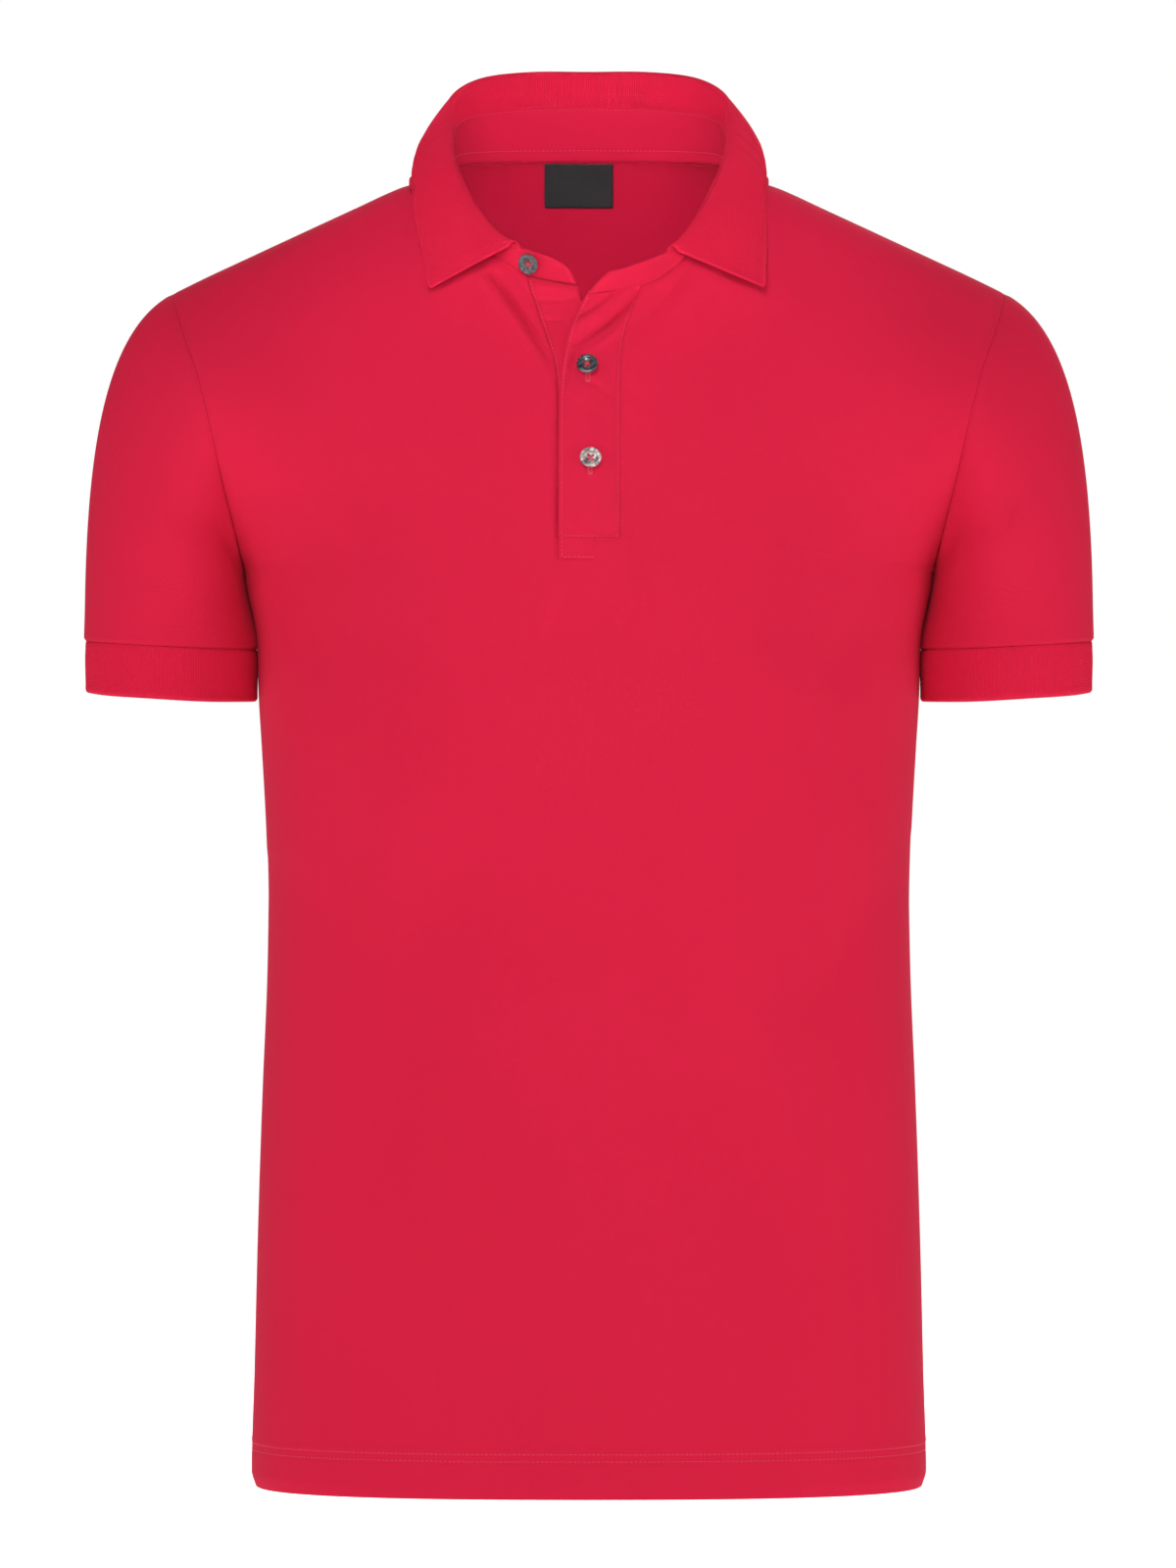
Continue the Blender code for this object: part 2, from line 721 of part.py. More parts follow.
def stand_point(turn, up):
    seam = neck_seam(turn)
    rise = stand_top(turn) - seam
    away = Vector((seam.x, seam.y, 0.0)).normalized()
    bow = STAND_BOW * math.sin(math.pi * up) + STAND_LAP * ease((turn - LAP_START) / LAP_SPAN)
    foot = seam + rise.normalized() * STAND_FOOT
    return foot + (stand_top(turn) - rise.normalized() * SEAM - foot) * up * stand_height(turn) + away * bow


def neck_middle(point):
    return Vector((0.0, -0.005, point.z))


def make_stand(finish, collection):
    def place(column, row):
        up = row / STAND_ROWS
        left = blend(STAND_END_LEFT, STAND_END_LEFT_TOP, up)
        return stand_point(blend(-STAND_END_RIGHT, left, column / STAND_COLUMNS), up)

    bm = grid(STAND_COLUMNS, STAND_ROWS, place)
    turn_out(bm, neck_middle)
    add_wall(add_object("collar_stand", bm, finish, collection), CLOTH)


def leaf_point(turn, row):
    """A point of the rib collar: up inside the neck, over the fold, and down to its outer edge."""
    seam = neck_seam(turn)
    fold = fold_point(turn)
    edge = leaf_edge(turn)
    up = (fold - seam).normalized()
    fall = edge - fold
    out = (fall - up * fall.dot(up)).normalized()
    foot = stand_top(turn) + up * collar_value(turn, "gap")
    spring = fold - up * FOLD_RADIUS
    if row < LEAF_INSIDE:
        return foot.lerp(spring, row / LEAF_INSIDE)
    arc = math.radians(FOLD_TURN)
    angle = arc * min((row - LEAF_INSIDE) / LEAF_FOLD, 1.0)
    on_fold = spring + out * FOLD_RADIUS * (1.0 - math.cos(angle)) + up * FOLD_RADIUS * math.sin(angle)
    if row <= LEAF_INSIDE + LEAF_FOLD:
        return on_fold
    share = (row - LEAF_INSIDE - LEAF_FOLD) / LEAF_FALL
    crown = on_fold.lerp(edge, CROWN_PLACE) + out * 2.0 * collar_value(turn, "crown")
    rest = 1.0 - share
    falling = on_fold * rest ** 2 + crown * 2 * rest * share + edge * share ** 2
    return above_body(falling, RIB + LEAF_LIFT)


def make_leaf(finish, collection):
    rows = LEAF_INSIDE + LEAF_FOLD + LEAF_FALL

    def place(column, row):
        return leaf_point(blend(-LEAF_END_RIGHT, LEAF_END_LEFT, column / LEAF_COLUMNS), row)

    def inside_fold(point):
        turn = math.degrees(math.atan2(point.x, point.y))
        return fold_point(max(min(turn, LEAF_END_LEFT), -LEAF_END_RIGHT)) * MM + Vector((0.0, 0.0, -0.03))

    bm = grid(LEAF_COLUMNS, rows, place)
    turn_out(bm, inside_fold)
    add_wall(add_object("collar_leaf", bm, finish, collection), RIB)


# ---------------------------------------------------------------- plackets and label

def make_upper_placket(finish, collection):
    top = UPPER_PLACKET.rows[-1][0]

    def place(column, row):
        z = blend(PLACKET_BASE_Z, top, row / PLACKET_ROWS)
        x = blend(UPPER_PLACKET.at(z, "free"), UPPER_PLACKET.at(z, "sewn"), column / PLACKET_COLUMNS)
        z = min(z, neck_front_z(x, 1) - PLACKET_DROP)
        return on_panel(x, z, "front", PLACKET_OUT)

    bm = grid(PLACKET_COLUMNS, PLACKET_ROWS, place)
    turn_out(bm, torso_middle)
    add_wall(add_object("placket_upper", bm, finish, collection), CLOTH)


def make_under_placket(finish, collection):
    def place(column, row):
        share = column / PLACKET_COLUMNS
        top_x = blend(UNDER_TOP_RIGHT + SEAM, UNDER_TOP_FREE, share)
        top_z = neck_front_z(top_x, -1) - SEAM
        z = blend(SLOT_BASE_Z + SEAM * 1.5, top_z, row / PLACKET_ROWS)
        right = -slot_edge(z, -1) + SEAM
        turned = ease((z - UNDER_TURN_Z) / (UNDER_TURNED_Z - UNDER_TURN_Z))
        free = blend(UNDER_FREE, UNDER_TOP_FREE, turned)
        return on_panel(blend(right, free, share), z, "front", -SEAM / 2)

    bm = grid(PLACKET_COLUMNS, PLACKET_ROWS, place)
    turn_out(bm, torso_middle)
    add_wall(add_object("placket_under", bm, finish, collection), CLOTH)


def make_label(finish, collection):
    def place(column, row):
        x = blend(LABEL_RIGHT, LABEL_LEFT, column / LABEL_COLUMNS)
        z = blend(LABEL_LOW, LABEL_HIGH, row / LABEL_ROWS)
        return on_panel(x, z, "back", -(CLOTH + LAP))

    bm = grid(LABEL_COLUMNS, LABEL_ROWS, place)
    turn_out(bm, torso_middle)
    add_wall(add_object("neck_label", bm, finish, collection), LABEL)


# ---------------------------------------------------------------- buttons

def button_place(index):
    """Where a button sits and which way it faces, in millimetres."""
    x = BUTTONS.at(index, "across")
    z = BUTTONS.at(index, "height")
    if index == 0:
        turn = -math.degrees(math.pi - math.asin(abs(x) / NECK_X))
        near = stand_point(turn, 0.5)
        right = stand_point(turn - 4.0, 0.5)
        above = stand_point(turn, 0.9)
        facing = (above - near).cross(right - near).normalized()
        if facing.y > 0:
            facing = -facing
        return near + facing * LAP, facing
    return on_panel(x, z, "front", PLACKET_OUT + LAP), panel_normal(x, z, "front")


def make_button(name, index, finish, collection, cutters):
    """A turned button with a raised rim, a dished face and four holes."""
    rim = BUTTON_RADIUS
    high = BUTTON_HEIGHT
    profile = ((0.0, high - 0.8), (rim * 0.52, high - 0.8), (rim * 0.68, high - 0.25), (rim * 0.8, high),
               (rim * 0.93, high - 0.25), (rim, high - 0.9), (rim, 0.9), (rim * 0.88, 0.2),
               (rim * 0.6, 0.0), (0.0, 0.0))
    bm = bmesh.new()
    points = [bm.verts.new((r * MM, 0.0, z * MM)) for r, z in profile]
    for first, second in zip(points, points[1:]):
        bm.edges.new((first, second))
    thing = add_object(name, bm, finish, collection)
    spin = thing.modifiers.new("Turn", "SCREW")
    spin.axis = "Z"
    spin.angle = math.radians(360.0)
    spin.steps = 24
    spin.render_steps = 24
    spin.screw_offset = 0.0
    spin.use_merge_vertices = True
    spin.merge_threshold = 0.00005
    spin.use_normal_calculate = True
    where, facing = button_place(index)
    upright = facing.to_track_quat("Z", "Y").to_matrix().to_4x4()
    thing.matrix_world = Matrix.Translation(where * MM) @ upright
    holes = bmesh.new()
    for across in (-1, 1):
        for along in (-1, 1):
            spot = Matrix.Translation((across * HOLE_PITCH * MM, along * HOLE_PITCH * MM, high * MM / 2))
            bmesh.ops.create_cone(holes, cap_ends=True, segments=10, radius1=HOLE_RADIUS * MM,
                                  radius2=HOLE_RADIUS * MM, depth=2 * high * MM, matrix=spot)
    cutter = add_object("holes_of_" + name, holes, finish, cutters)
    cutter.matrix_world = thing.matrix_world.copy()
    cutter.hide_render = True
    cutter.display_type = "WIRE"
    cut = thing.modifiers.new("Holes", "BOOLEAN")
    cut.operation = "DIFFERENCE"
    cut.solver = "EXACT"
    cut.object = cutter


def new_collection(name):
    made = bpy.data.collections.new(name)
    bpy.context.scene.collection.children.link(made)
    return made


def main():
    clear_scene()
    shirt = new_collection("polo_shirt")
    cutters = new_collection("button_cutters")
    cloth = material("raspberry_pique", colour(214, 34, 65), 0.85)
    rib = material("raspberry_rib", colour(206, 30, 60), 0.85)
    label = material("black_label", colour(52, 52, 54), 0.7)
    smoke = material("smoky_button", colour(92, 80, 84), 0.35)
    pearl = material("pearl_button", colour(178, 166, 168), 0.3)
    make_front(cloth, shirt)
    make_back(cloth, shirt)
    for name, side in (("left", 1), ("right", -1)):
        make_sleeve("sleeve_" + name, side, cloth, shirt)
        make_cuff("cuff_" + name, side, rib, shirt)
    make_stand(cloth, shirt)
    make_leaf(rib, shirt)
    make_upper_placket(cloth, shirt)
    make_under_placket(cloth, shirt)
    make_label(label, shirt)
    make_button("button_collar", 0, smoke, shirt, cutters)
    make_button("button_upper", 1, smoke, shirt, cutters)
    make_button("button_lower", 2, pearl, shirt, cutters)


main()
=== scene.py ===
"""The finished look of a short-sleeved polo shirt: knitted cloth, rib collar and cuffs, seams, thread,
label and buttons.

Tables and sizes are in millimetres, and every mesh is in metres in the frame of the solids: the origin is
the middle of the neck base, +Z is up, the front faces -Y, and the wearer's left is +X.
"""

import math

import bmesh
import bpy
import numpy as np
from mathutils import Matrix, Vector


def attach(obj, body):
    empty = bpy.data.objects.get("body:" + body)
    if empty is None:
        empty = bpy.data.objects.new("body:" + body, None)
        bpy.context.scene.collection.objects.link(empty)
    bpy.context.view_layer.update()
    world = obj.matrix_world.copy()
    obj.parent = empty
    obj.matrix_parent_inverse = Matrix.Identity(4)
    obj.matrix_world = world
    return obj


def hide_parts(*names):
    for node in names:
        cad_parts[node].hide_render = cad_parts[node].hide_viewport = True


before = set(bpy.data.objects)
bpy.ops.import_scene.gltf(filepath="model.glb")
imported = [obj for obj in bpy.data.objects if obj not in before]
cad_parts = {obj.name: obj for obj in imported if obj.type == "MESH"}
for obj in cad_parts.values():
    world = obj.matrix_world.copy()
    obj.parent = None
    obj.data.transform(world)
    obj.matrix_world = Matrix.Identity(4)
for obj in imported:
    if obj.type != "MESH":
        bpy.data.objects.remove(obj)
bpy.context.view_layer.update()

MM = 0.001

# Cloth, walls and seams
CLOTH = 1.0            # pique knit of the body and sleeves
DOUBLE_CLOTH = 1.3     # plackets
STAND_WALL = 2.2       # the stand, two layers with the rib collar's foot between them
STAND_OUT = 0.9        # how far its outer face is out from the line that the rib collar follows
RIB = 1.7
LABEL = 0.6
SEAM_DIP = 0.4         # how deep a seam lies between the cloth on its two sides, and how wide
SEAM_WIDTH = 2.0

# Body, the same as the solids
SQUARENESS = 2.3
UNDERARM_Z = -222.0
TIP_Z = -67.6
TIP_X = 229.0
NECK_X = 78.0
NECK_SAG = 4.5
HEM_Z = -722.5
HEM_RISE = 1.2
HEM_DROP = 3.0
SPAN_START = 12.0
SPAN_END = 150.0
CORNER_REACH = 17.0    # how far to each side the cloth lower down evens out the corner of the neck
CORNER_SPREAD = (-1.0, -0.66, -0.33, 0.0, 0.33, 0.66, 1.0)

# Turned hem
HEM_GAP = 0.2          # between its outer and inner layer
HEM_DEPTH = 26.5       # its raw edge, up from the fold
HEM_NEEDLES = (20.8, 24.6)  # its two rows of stitches
NEEDLE_DIP = 0.28      # how deep they pull in the cloth
HEM_ZONE = 28.0        # the height with rows close enough for the hem's relief
ARMHOLE_STEPS = 76     # steps up each side of the armholes, the same in panels and sleeves
SIDE_STEPS = (0.974, 0.982, 0.988, 0.9925, 0.9965, 1.0)  # the last ones to a panel's side edge
NECK_SHARE = 7 / 15    # of a panel's columns end at the neck, and the others at the shoulder
FAR = 1000.0           # further from a seam than any place on a panel

# Plackets
SLOT_BASE_Z = -206.0
PLACKET_BASE_Z = -217.8
PLACKET_DROP = 0.5
FREE_EDGE_OUT = 2.2    # the upper placket's outer face at its free edge, out from the front
SEWN_EDGE_OUT = 1.2    # and beside the seam that joins it
BOX_ROWS = (-205.3, -216.4)
FREE_ROW = 2.1         # the rows of stitches, in from the free edge and from the sewn one
SEWN_ROW = 1.4
UNDER_FREE = 15.0      # the under placket's free edge low down, and at the neck
UNDER_FREE_TOP = -6.0
UNDER_SEWN_TOP = -33.5  # its sewn edge at the neck

# Neck label
LABEL_RIGHT = -25.0
LABEL_LEFT = 13.5
LABEL_BASE_Z = -14.5
LABEL_TOP_Z = 9.6

# Sleeves and cuffs
CUFF_X = 229.0
CUFF_Y = -18.0
CUFF_TOP_Z = -261.2
CUFF_BASE_Z = -289.6
CUFF_RADIUS = 47.0
CUFF_SLANT = 2.3
CUFF_SAG = 1.5
ARMHOLE_X = 205.0      # the middle of the sleeve at its armhole
SLEEVE_OVERHANG = 0.35  # how far the sleeve bulges over the cuff seam

# Collar
FOLD_RADIUS = 3.0
FOLD_ARC = math.radians(150.0)  # how far the leaf turns over at its fold
STAND_BOW = 0.6
STAND_LAP = 2.0
STAND_LENGTH = 380.0
STAND_DIP = 0.26
LEAF_LIFT = 0.7
STAND_END_LEFT = 180.4
STAND_END_LEFT_TOP = 173.5
STAND_END_RIGHT = 174.4
LEAF_END_LEFT = 152.0
LEAF_END_RIGHT = 156.0
LEAF_TIP_RIGHT = 153.2  # the turn of the outer edge's point there
LEAF_SWING = 4.0
SEAM_SPREAD = (-12.0, -6.0, 0.0, 6.0, 12.0)  # degrees of the seam that a place of the leaf leans on
REST_SOFTNESS = 1.3    # how gently the leaf comes to rest on the shoulders
RIB_PITCH = 1.45       # from one rib to the next
RIB_DEPTH = 0.34
RIB_STEPS = 4          # columns to a rib
SELVEDGE = 2.4         # width of the firm knitted edge of the collar

# Thread
STITCH_PITCH = 2.5
STITCH_LENGTH = 1.8
THREAD = 0.5

# Buttons
BUTTON_RADIUS = 5.8
BUTTON_HEIGHT = 2.6
BUTTON_LIFT = 0.5
HOLE_RADIUS = 0.75
HOLE_PITCH = 1.35
HOLES = [(x * HOLE_PITCH, y * HOLE_PITCH) for x in (-1, 1) for y in (-1, 1)]
BUTTON_SEAT = 2.4      # out from the front's plain form, on the upper placket
BUTTONHOLE = 14.0

# Studio
PHOTO_SCALE = 0.54     # millimetres to a pixel of the photograph, in the plane of the side seams
PHOTO_HEIGHT = 1600
CAMERA_DISTANCE = 4500.0
VIEW_X = -0.5
VIEW_Z = -337.5
FLOOR_Z = -830.0
FLOOR_RADIUS = 12.0    # metres
FLOOR_GLOW = 0.6
AIR_GLOW = 0.05
WHITE = (1.0, 1.0, 1.0, 1.0)
NECK_SPREAD = 9.0      # degrees: the small light that reaches into the neck


class Table:
    """Rows of sizes that are read smoothly at any place between them."""

    def __init__(self, columns, *rows):
        self.columns = columns.split()
        self.rows = np.array(rows, dtype=float)

    def at(self, place, column):
        places = self.rows[:, 0]
        values = self.rows[:, self.columns.index(column)]
        slopes = np.empty(len(values))
        slopes[1:-1] = (values[2:] - values[:-2]) / (places[2:] - places[:-2])
        slopes[0] = (values[1] - values[0]) / (places[1] - places[0])
        slopes[-1] = (values[-1] - values[-2]) / (places[-1] - places[-2])
        place = np.clip(place, places[0], places[-1])
        i = np.clip(np.searchsorted(places, place), 1, len(places) - 1)
        span = places[i] - places[i - 1]
        share = (place - places[i - 1]) / span
        start = slopes[i - 1] * span
        end = slopes[i] * span
        rise = values[i] - values[i - 1]
        return values[i - 1] + share * (start + share * (3 * rise - 2 * start - end
                                                         + share * (start + end - 2 * rise)))


# The body below the underarm, at heights: half its width, its reach forward and back of the side seam,
# and the side seam's own place
BODY = Table(
    "height half_width front  back  seam_y",
    (-726, 181, 112, 107, -13),
    (-720, 183.2, 113, 107.6, -13),
    (-714, 184.8, 113.5, 108, -13),
    (-661, 183.3, 114.5, 107.5, -13.5),
    (-608, 182, 115, 106, -14),
    (-553, 180.4, 115, 103.5, -14.5),
    (-500, 178.5, 115.5, 101.5, -15),
    (-446, 176.2, 117, 101, -15),
    (-405, 175.6, 119.5, 102.5, -15),
    (-364, 176.6, 123, 106, -15),
    (-316, 179.2, 126.5, 111, -15),
    (-290, 180.8, 128, 114, -15),
    (-263, 181.6, 128, 115.5, -14.5),
    (-253, 182.6, 128, 116, -14.2),
    (-243, 184.7, 128, 116.5, -14),
    (-232, 187.1, 128, 117, -13.5),
    (-222, 188.5, 128, 117.5, -13),
    (-150, 188.5, 128, 118, -7),
    (-70, 188.5, 128, 118, 2),
    (0, 188.5, 128, 118, 7),
)

# Above the underarm, at heights: the armhole seam's place on the front and the back, and how quickly
# the level sections still turn to the side, as 1000 over their half width
YOKE = Table(
    "height  front   back    bend",
    (-222, 188.5, 188.5, 5.305),
    (-216, 189.7, 190.2, 5.225),
    (-192, 195, 197, 4.74),
    (-175, 199, 202.5, 4.2),
    (-150, 204.3, 209.5, 3.05),
    (-128, 209.5, 215.5, 1.75),
    (-112, 214, 219, 1),
    (-91, 221.8, 223.8, 0.3),
    (-75, 227, 227.6, 0.05),
    (-67.6, 229, 229, 0.01),
)

# The shoulder line, at distances from the middle, and the second height that the cloth spans lower down
SHOULDER = Table(
    "across height  below",
    (0, 58, 46),
    (30, 50.5, 38.5),
    (45, 41, 31),
    (60, 28, 22.5),
    (70, 15.5, 16.8),
    (75, 8, 13.8),
    (78, 0, 12),
    (82, -3.2, 9.6),
    (87, -4.6, 6.6),
    (95, -6.2, 2),
    (106, -9.8, -4.4),
    (130, -20.9, -18),
    (158, -33.9, -33),
    (186, -47, -47),
    (212, -59.2, -59.2),
    (229, -67.6, -67.6),
)

# The height of the neck seam, at turns in degrees from the middle of the back
NECK = Table(
    "turn  height",
    (0, 10),
    (36, 8.9),
    (64, 5.9),
    (78, 2),
    (84, 0.35),
    (90, 0),
    (98, -6.5),
    (106, -15),
    (127, -38),
    (145, -54.5),
    (158, -62.5),
    (180, -68),
)

# How the cloth leaves the shoulder line: the share of its full reach, at roots of the drop below it
FALL = Table(
    "root front  back",
    (0, 0, 0),
    (1.6, 0.075, 0.125),
    (3.2, 0.15, 0.255),
    (4.8, 0.235, 0.385),
    (6.3, 0.335, 0.48),
    (7.9, 0.44, 0.565),
    (9.7, 0.55, 0.665),
    (11.4, 0.665, 0.765),
    (13, 0.79, 0.855),
    (14.5, 0.9, 0.93),
    (16.2, 0.978, 0.985),
    (18, 1, 1),
)

# The slot's edges in the front, at heights: the wearer's right and left
SLOT = Table(
    "height right left",
    (-206, 17, 16.6),
    (-130, 16.8, 16.6),
    (-110, 18.6, 16.8),
    (-97, 22.7, 18.2),
    (-79, 28.6, 23.6),
    (-66, 32.6, 28.2),
    (-60, 33.8, 28.2),
)

# The upper placket's edges, at heights: the free edge and the sewn one
UPPER_PLACKET = Table(
    "height  free   sewn",
    (-217.8, -16.4, 17),
    (-150, -16.4, 17),
    (-132, -16.2, 17),
    (-115, -15, 17.3),
    (-98.8, -11.9, 18.7),
    (-85, -7.6, 22.3),
    (-72.4, -0.6, 27.2),
    (-65, 3.4, 29.4),
)

# The collar, at turns from the middle of the back: its fold, its outer edge, the fall's crown, and the
# stand's share of the way from the neck seam to the fold
COLLAR = Table(
    "turn  fold_x fold_y fold_z edge_x edge_y edge_z crown stand",
    (0, 0, 70, 61.5, 0, 84, 1, 3, 0.6),
    (24, 33.5, 68.5, 61.3, 38, 81.5, 1, 3, 0.6),
    (46, 59, 59.5, 57, 72, 67, -1, 6, 0.6),
    (66, 72.5, 42, 46.5, 90.5, 42, -4, 9, 0.65),
    (86, 75.5, 20, 29, 97, 11, -5, 7, 0.72),
    (106, 73, -10, 8, 97, -17, -18, 5.5, 0.6),
    (124, 64.5, -36, -13, 95.5, -39, -40, 4, 0.62),
    (140, 53.5, -58, -31, 92.8, -56, -57, 3, 0.72),
    (154, 41, -72, -41.5, 88.8, -65, -68.6, 2, 0.8),
    (167, 21, -81, -47, 60, -72, -68.6, 2, 0.82),
    (181, 0, -86, -49, 30, -77, -68.6, 2, 0.84),
)

# The sleeve's lines from armhole to cuff, at its turn: under the arm, front or back, and over the top
SLEEVE = Table(
    "turn   start  end   out    forth  down",
    (-1, 13, 13, 0.06, 0, -1),
    (0, 35, 44, 0.62, 0.08, -0.78),
    (1, 46, 92, 0.89, 0, -0.46),
)

BUTTONS = (
    # name, across, height
    ("button_collar", -29, -52),
    ("button_upper", -0.5, -113.3),
    ("button_lower", 0.6, -164),
)

# Folds in the cloth: three points of each one's line as x and z, its height (below 0 for a trough) and
# its half width
FRONT_FOLDS = (
    (-55, -58, -42, -73, -20, -110, -3.2, 1.7),
    (-59.5, -61.5, -46, -76.5, -24, -113, 2.6, 2.8),
    (-50, -55, -36, -70, -22, -95, 0.9, 2.4),
    (-36, -60, -20, -65, -2, -64.5, -1.7, 1.4),
    (-36, -66, -20, -69, -2, -70.5, 1.3, 2.2),
    (-34, -74, -22, -77, -6, -74, -1.1, 1.6),
    (-32, -83, -24, -88, -14, -86, -1, 1.8),
    (31, -66, 15, -88, -9, -102, -2.9, 1.5),
    (29, -61, 11, -82, -11, -94, 1.8, 3.2),
    (32, -74, 19, -92, -2, -107, 1, 2.6),
    (-3, -99, -9, -108, -13.5, -126, -1.3, 1.6),
    (12, -72, 5, -80, -8, -86, -1, 1.7),
    (54, -58, 40, -74, 21, -96, -1.2, 3),
    (72, -48, 54, -72, 32, -98, 0.9, 5),
    (-8, -117, 3, -121, 13, -131, -0.9, 2.2),
    (-20, -224, 0, -227, 20, -224, 0.5, 3),
    (-18, -219, -22, -236, -30, -262, 0.7, 4),
    (18, -219, 21, -238, 34, -268, 0.6, 4.5),
    (185, -196, 150, -232, 128, -300, -2.2, 11),
    (-186, -196, -150, -236, -132, -306, -2.2, 10),
    (178, -150, 150, -190, 118, -214, 1.6, 13),
    (-178, -146, -146, -186, -120, -206, 1.5, 12),
    (44, -300, 84, -450, 140, -640, 2.4, 26),
    (-56, -330, -96, -460, -132, -610, -1.8, 22),
    (176, -360, 150, -430, 96, -470, -1.6, 15),
    (-176, -372, -146, -420, -90, -448, -1.5, 14),
    (20, -560, 30, -640, 26, -716, 1.2, 16),
    (-72, -590, -62, -660, -68, -718, 1.3, 15),
)
BACK_FOLDS = (
    (190, -206, 150, -190, 96, -196, -2, 10),
    (-190, -206, -148, -186, -90, -190, -1.9, 10),
    (186, -232, 146, -250, 112, -310, -2.2, 12),
    (-186, -236, -150, -262, -120, -330, -2, 11),
    (84, -96, 92, -140, 84, -200, 1.4, 12),
    (-80, -100, -90, -150, -82, -206, 1.4, 13),
    (168, -400, 96, -430, 20, -414, -2.6, 13),
    (-168, -412, -104, -446, -30, -432, -2.4, 12),
    (150, -452, 84, -474, 10, -462, 2, 12),
    (40, -520, 52, -620, 44, -716, 2, 20),
    (-58, -540, -66, -630, -60, -718, 1.8, 19),
    (108, -560, 112, -650, 104, -720, -1.6, 15),
    (-112, -580, -122, -660, -116, -720, -1.5, 15),
)
# Folds in the left sleeve: three points as turn and share of the way to the cuff, height and half width.
# A turn counts as much as TURN_SIZE of the way
SLEEVE_FOLDS = (
    (-60, -0.04, -20, 0.3, 6, 0.52, -1.6, 0.07),
    (-48, 0.22, -14, 0.48, 16, 0.74, 1.3, 0.09),
    (-118, -0.04, -160, 0.28, -188, 0.5, -1.7, 0.07),
    (-130, 0.24, -164, 0.5, -196, 0.72, 1.4, 0.09),
    (44, 0.4, 30, 0.66, 34, 1.02, 1, 0.08),
    (140, 0.44, 150, 0.7, 146, 1.02, 1, 0.08),
)
TURN_SIZE = 0.0045


# ---- the garment's surfaces

def blend(low, high, share):
    return low + (high - low) * share


def ease(share):
    share = np.clip(share, 0.0, 1.0)
    return share * share * (3.0 - 2.0 * share)


def hump(distance, width):
    return np.exp(-(distance / width) ** 2)


def spot(x, y, z):
    return np.stack(np.broadcast_arrays(x, y, z), axis=-1).astype(float)


def unit(vectors):
    return vectors / np.maximum(np.linalg.norm(vectors, axis=-1, keepdims=True), 1e-9)


def shifted(points, directions, sizes):
    return points + directions * np.asarray(sizes)[..., None]


def curve(first, middle, last, share):
    """A place on the curve from the first point to the last that leans toward the middle one."""
    rest = 1.0 - share
    return first * rest ** 2 + middle * 2 * rest * share + last * share ** 2


def way_along(points, axis=0):
    """How far each point of a line or grid is from the first, along one axis of it."""
    way = np.cumsum(np.linalg.norm(np.diff(points, axis=axis), axis=-1), axis=axis)
    return np.concatenate((np.zeros_like(np.take(way, [0], axis=axis)), way), axis=axis)


def bend(z):
    return np.where(z <= UNDERARM_Z, 1.0 / BODY.at(z, "half_width"), YOKE.at(z, "bend") / 1000.0)


def side_edge(z, face):
    return np.where(z <= UNDERARM_Z, BODY.at(z, "half_width"), YOKE.at(z, face))


def panel_y(x, z, face):
    """The place of the front's or the back's outer face at a point of the front view."""
    x = np.abs(x)
    reach = CORNER_REACH * ease((SHOULDER.at(x, "height") - z - 3.0) / 36.0)
    heights = [SHOULDER.at(np.abs(x + reach * share), "height") for share in CORNER_SPREAD]
    height = sum(heights) / len(heights)
    spanned = ease((height - z - SPAN_START) / (SPAN_END - SPAN_START))
    line = blend(height, SHOULDER.at(x, "below"), spanned)
    fall = FALL.at(np.sqrt(np.maximum(line - z, 0.0)), face)
    turn = np.minimum(x * bend(z), 1.0)
    section = (1.0 - turn ** SQUARENESS) ** (1.0 / SQUARENESS)
    reach = BODY.at(z, face) * fall * section
    return BODY.at(z, "seam_y") + (reach if face == "back" else -reach)


def panel_normal(x, z, face):
    step = 0.5
    across = panel_y(x + step, z, face) - panel_y(x - step, z, face)
    up = panel_y(x, z + step, face) - panel_y(x, z - step, face)
    sign = 1.0 if face == "back" else -1.0
    return unit(spot(-across * sign, 2 * step * sign, -up * sign))


def fold_relief(across, along, folds):
    """The height that folds add at points of the surface they are drawn on."""
    total = np.zeros(np.shape(across))
    pieces = 8
    for x0, z0, x1, z1, x2, z2, height, width in folds:
        nearest = np.full(total.shape, np.inf)
        progress = np.zeros(total.shape)
        share = np.linspace(0.0, 1.0, pieces + 1)
        line_x = curve(x0, x1, x2, share)
        line_z = curve(z0, z1, z2, share)
        for k in range(pieces):
            step_x = line_x[k + 1] - line_x[k]
            step_z = line_z[k + 1] - line_z[k]
            t = (across - line_x[k]) * step_x + (along - line_z[k]) * step_z
            t = np.clip(t / (step_x ** 2 + step_z ** 2), 0.0, 1.0)
            gap = np.hypot(across - line_x[k] - t * step_x, along - line_z[k] - t * step_z)
            closer = gap < nearest
            nearest = np.where(closer, gap, nearest)
            progress = np.where(closer, (k + t) / pieces, progress)
        total += height * hump(nearest, width) * np.sin(np.pi * progress) ** 0.7
    return total


def slot_edge(z, side):
    return SLOT.at(z, "left" if side > 0 else "right")


def cloth_lift(x, z, face):
    """How far the cloth's outer face is out from its plain form."""
    if face == "back":
        pucker = 0.35 * np.sin(x / 1.7 + 0.8 * np.sin(x / 6.0)) * hump(z - 6.0, 7.0) * (np.abs(x) < 66.0)
        return fold_relief(x, z, BACK_FOLDS) + pucker
    return fold_relief(x, z, FRONT_FOLDS)


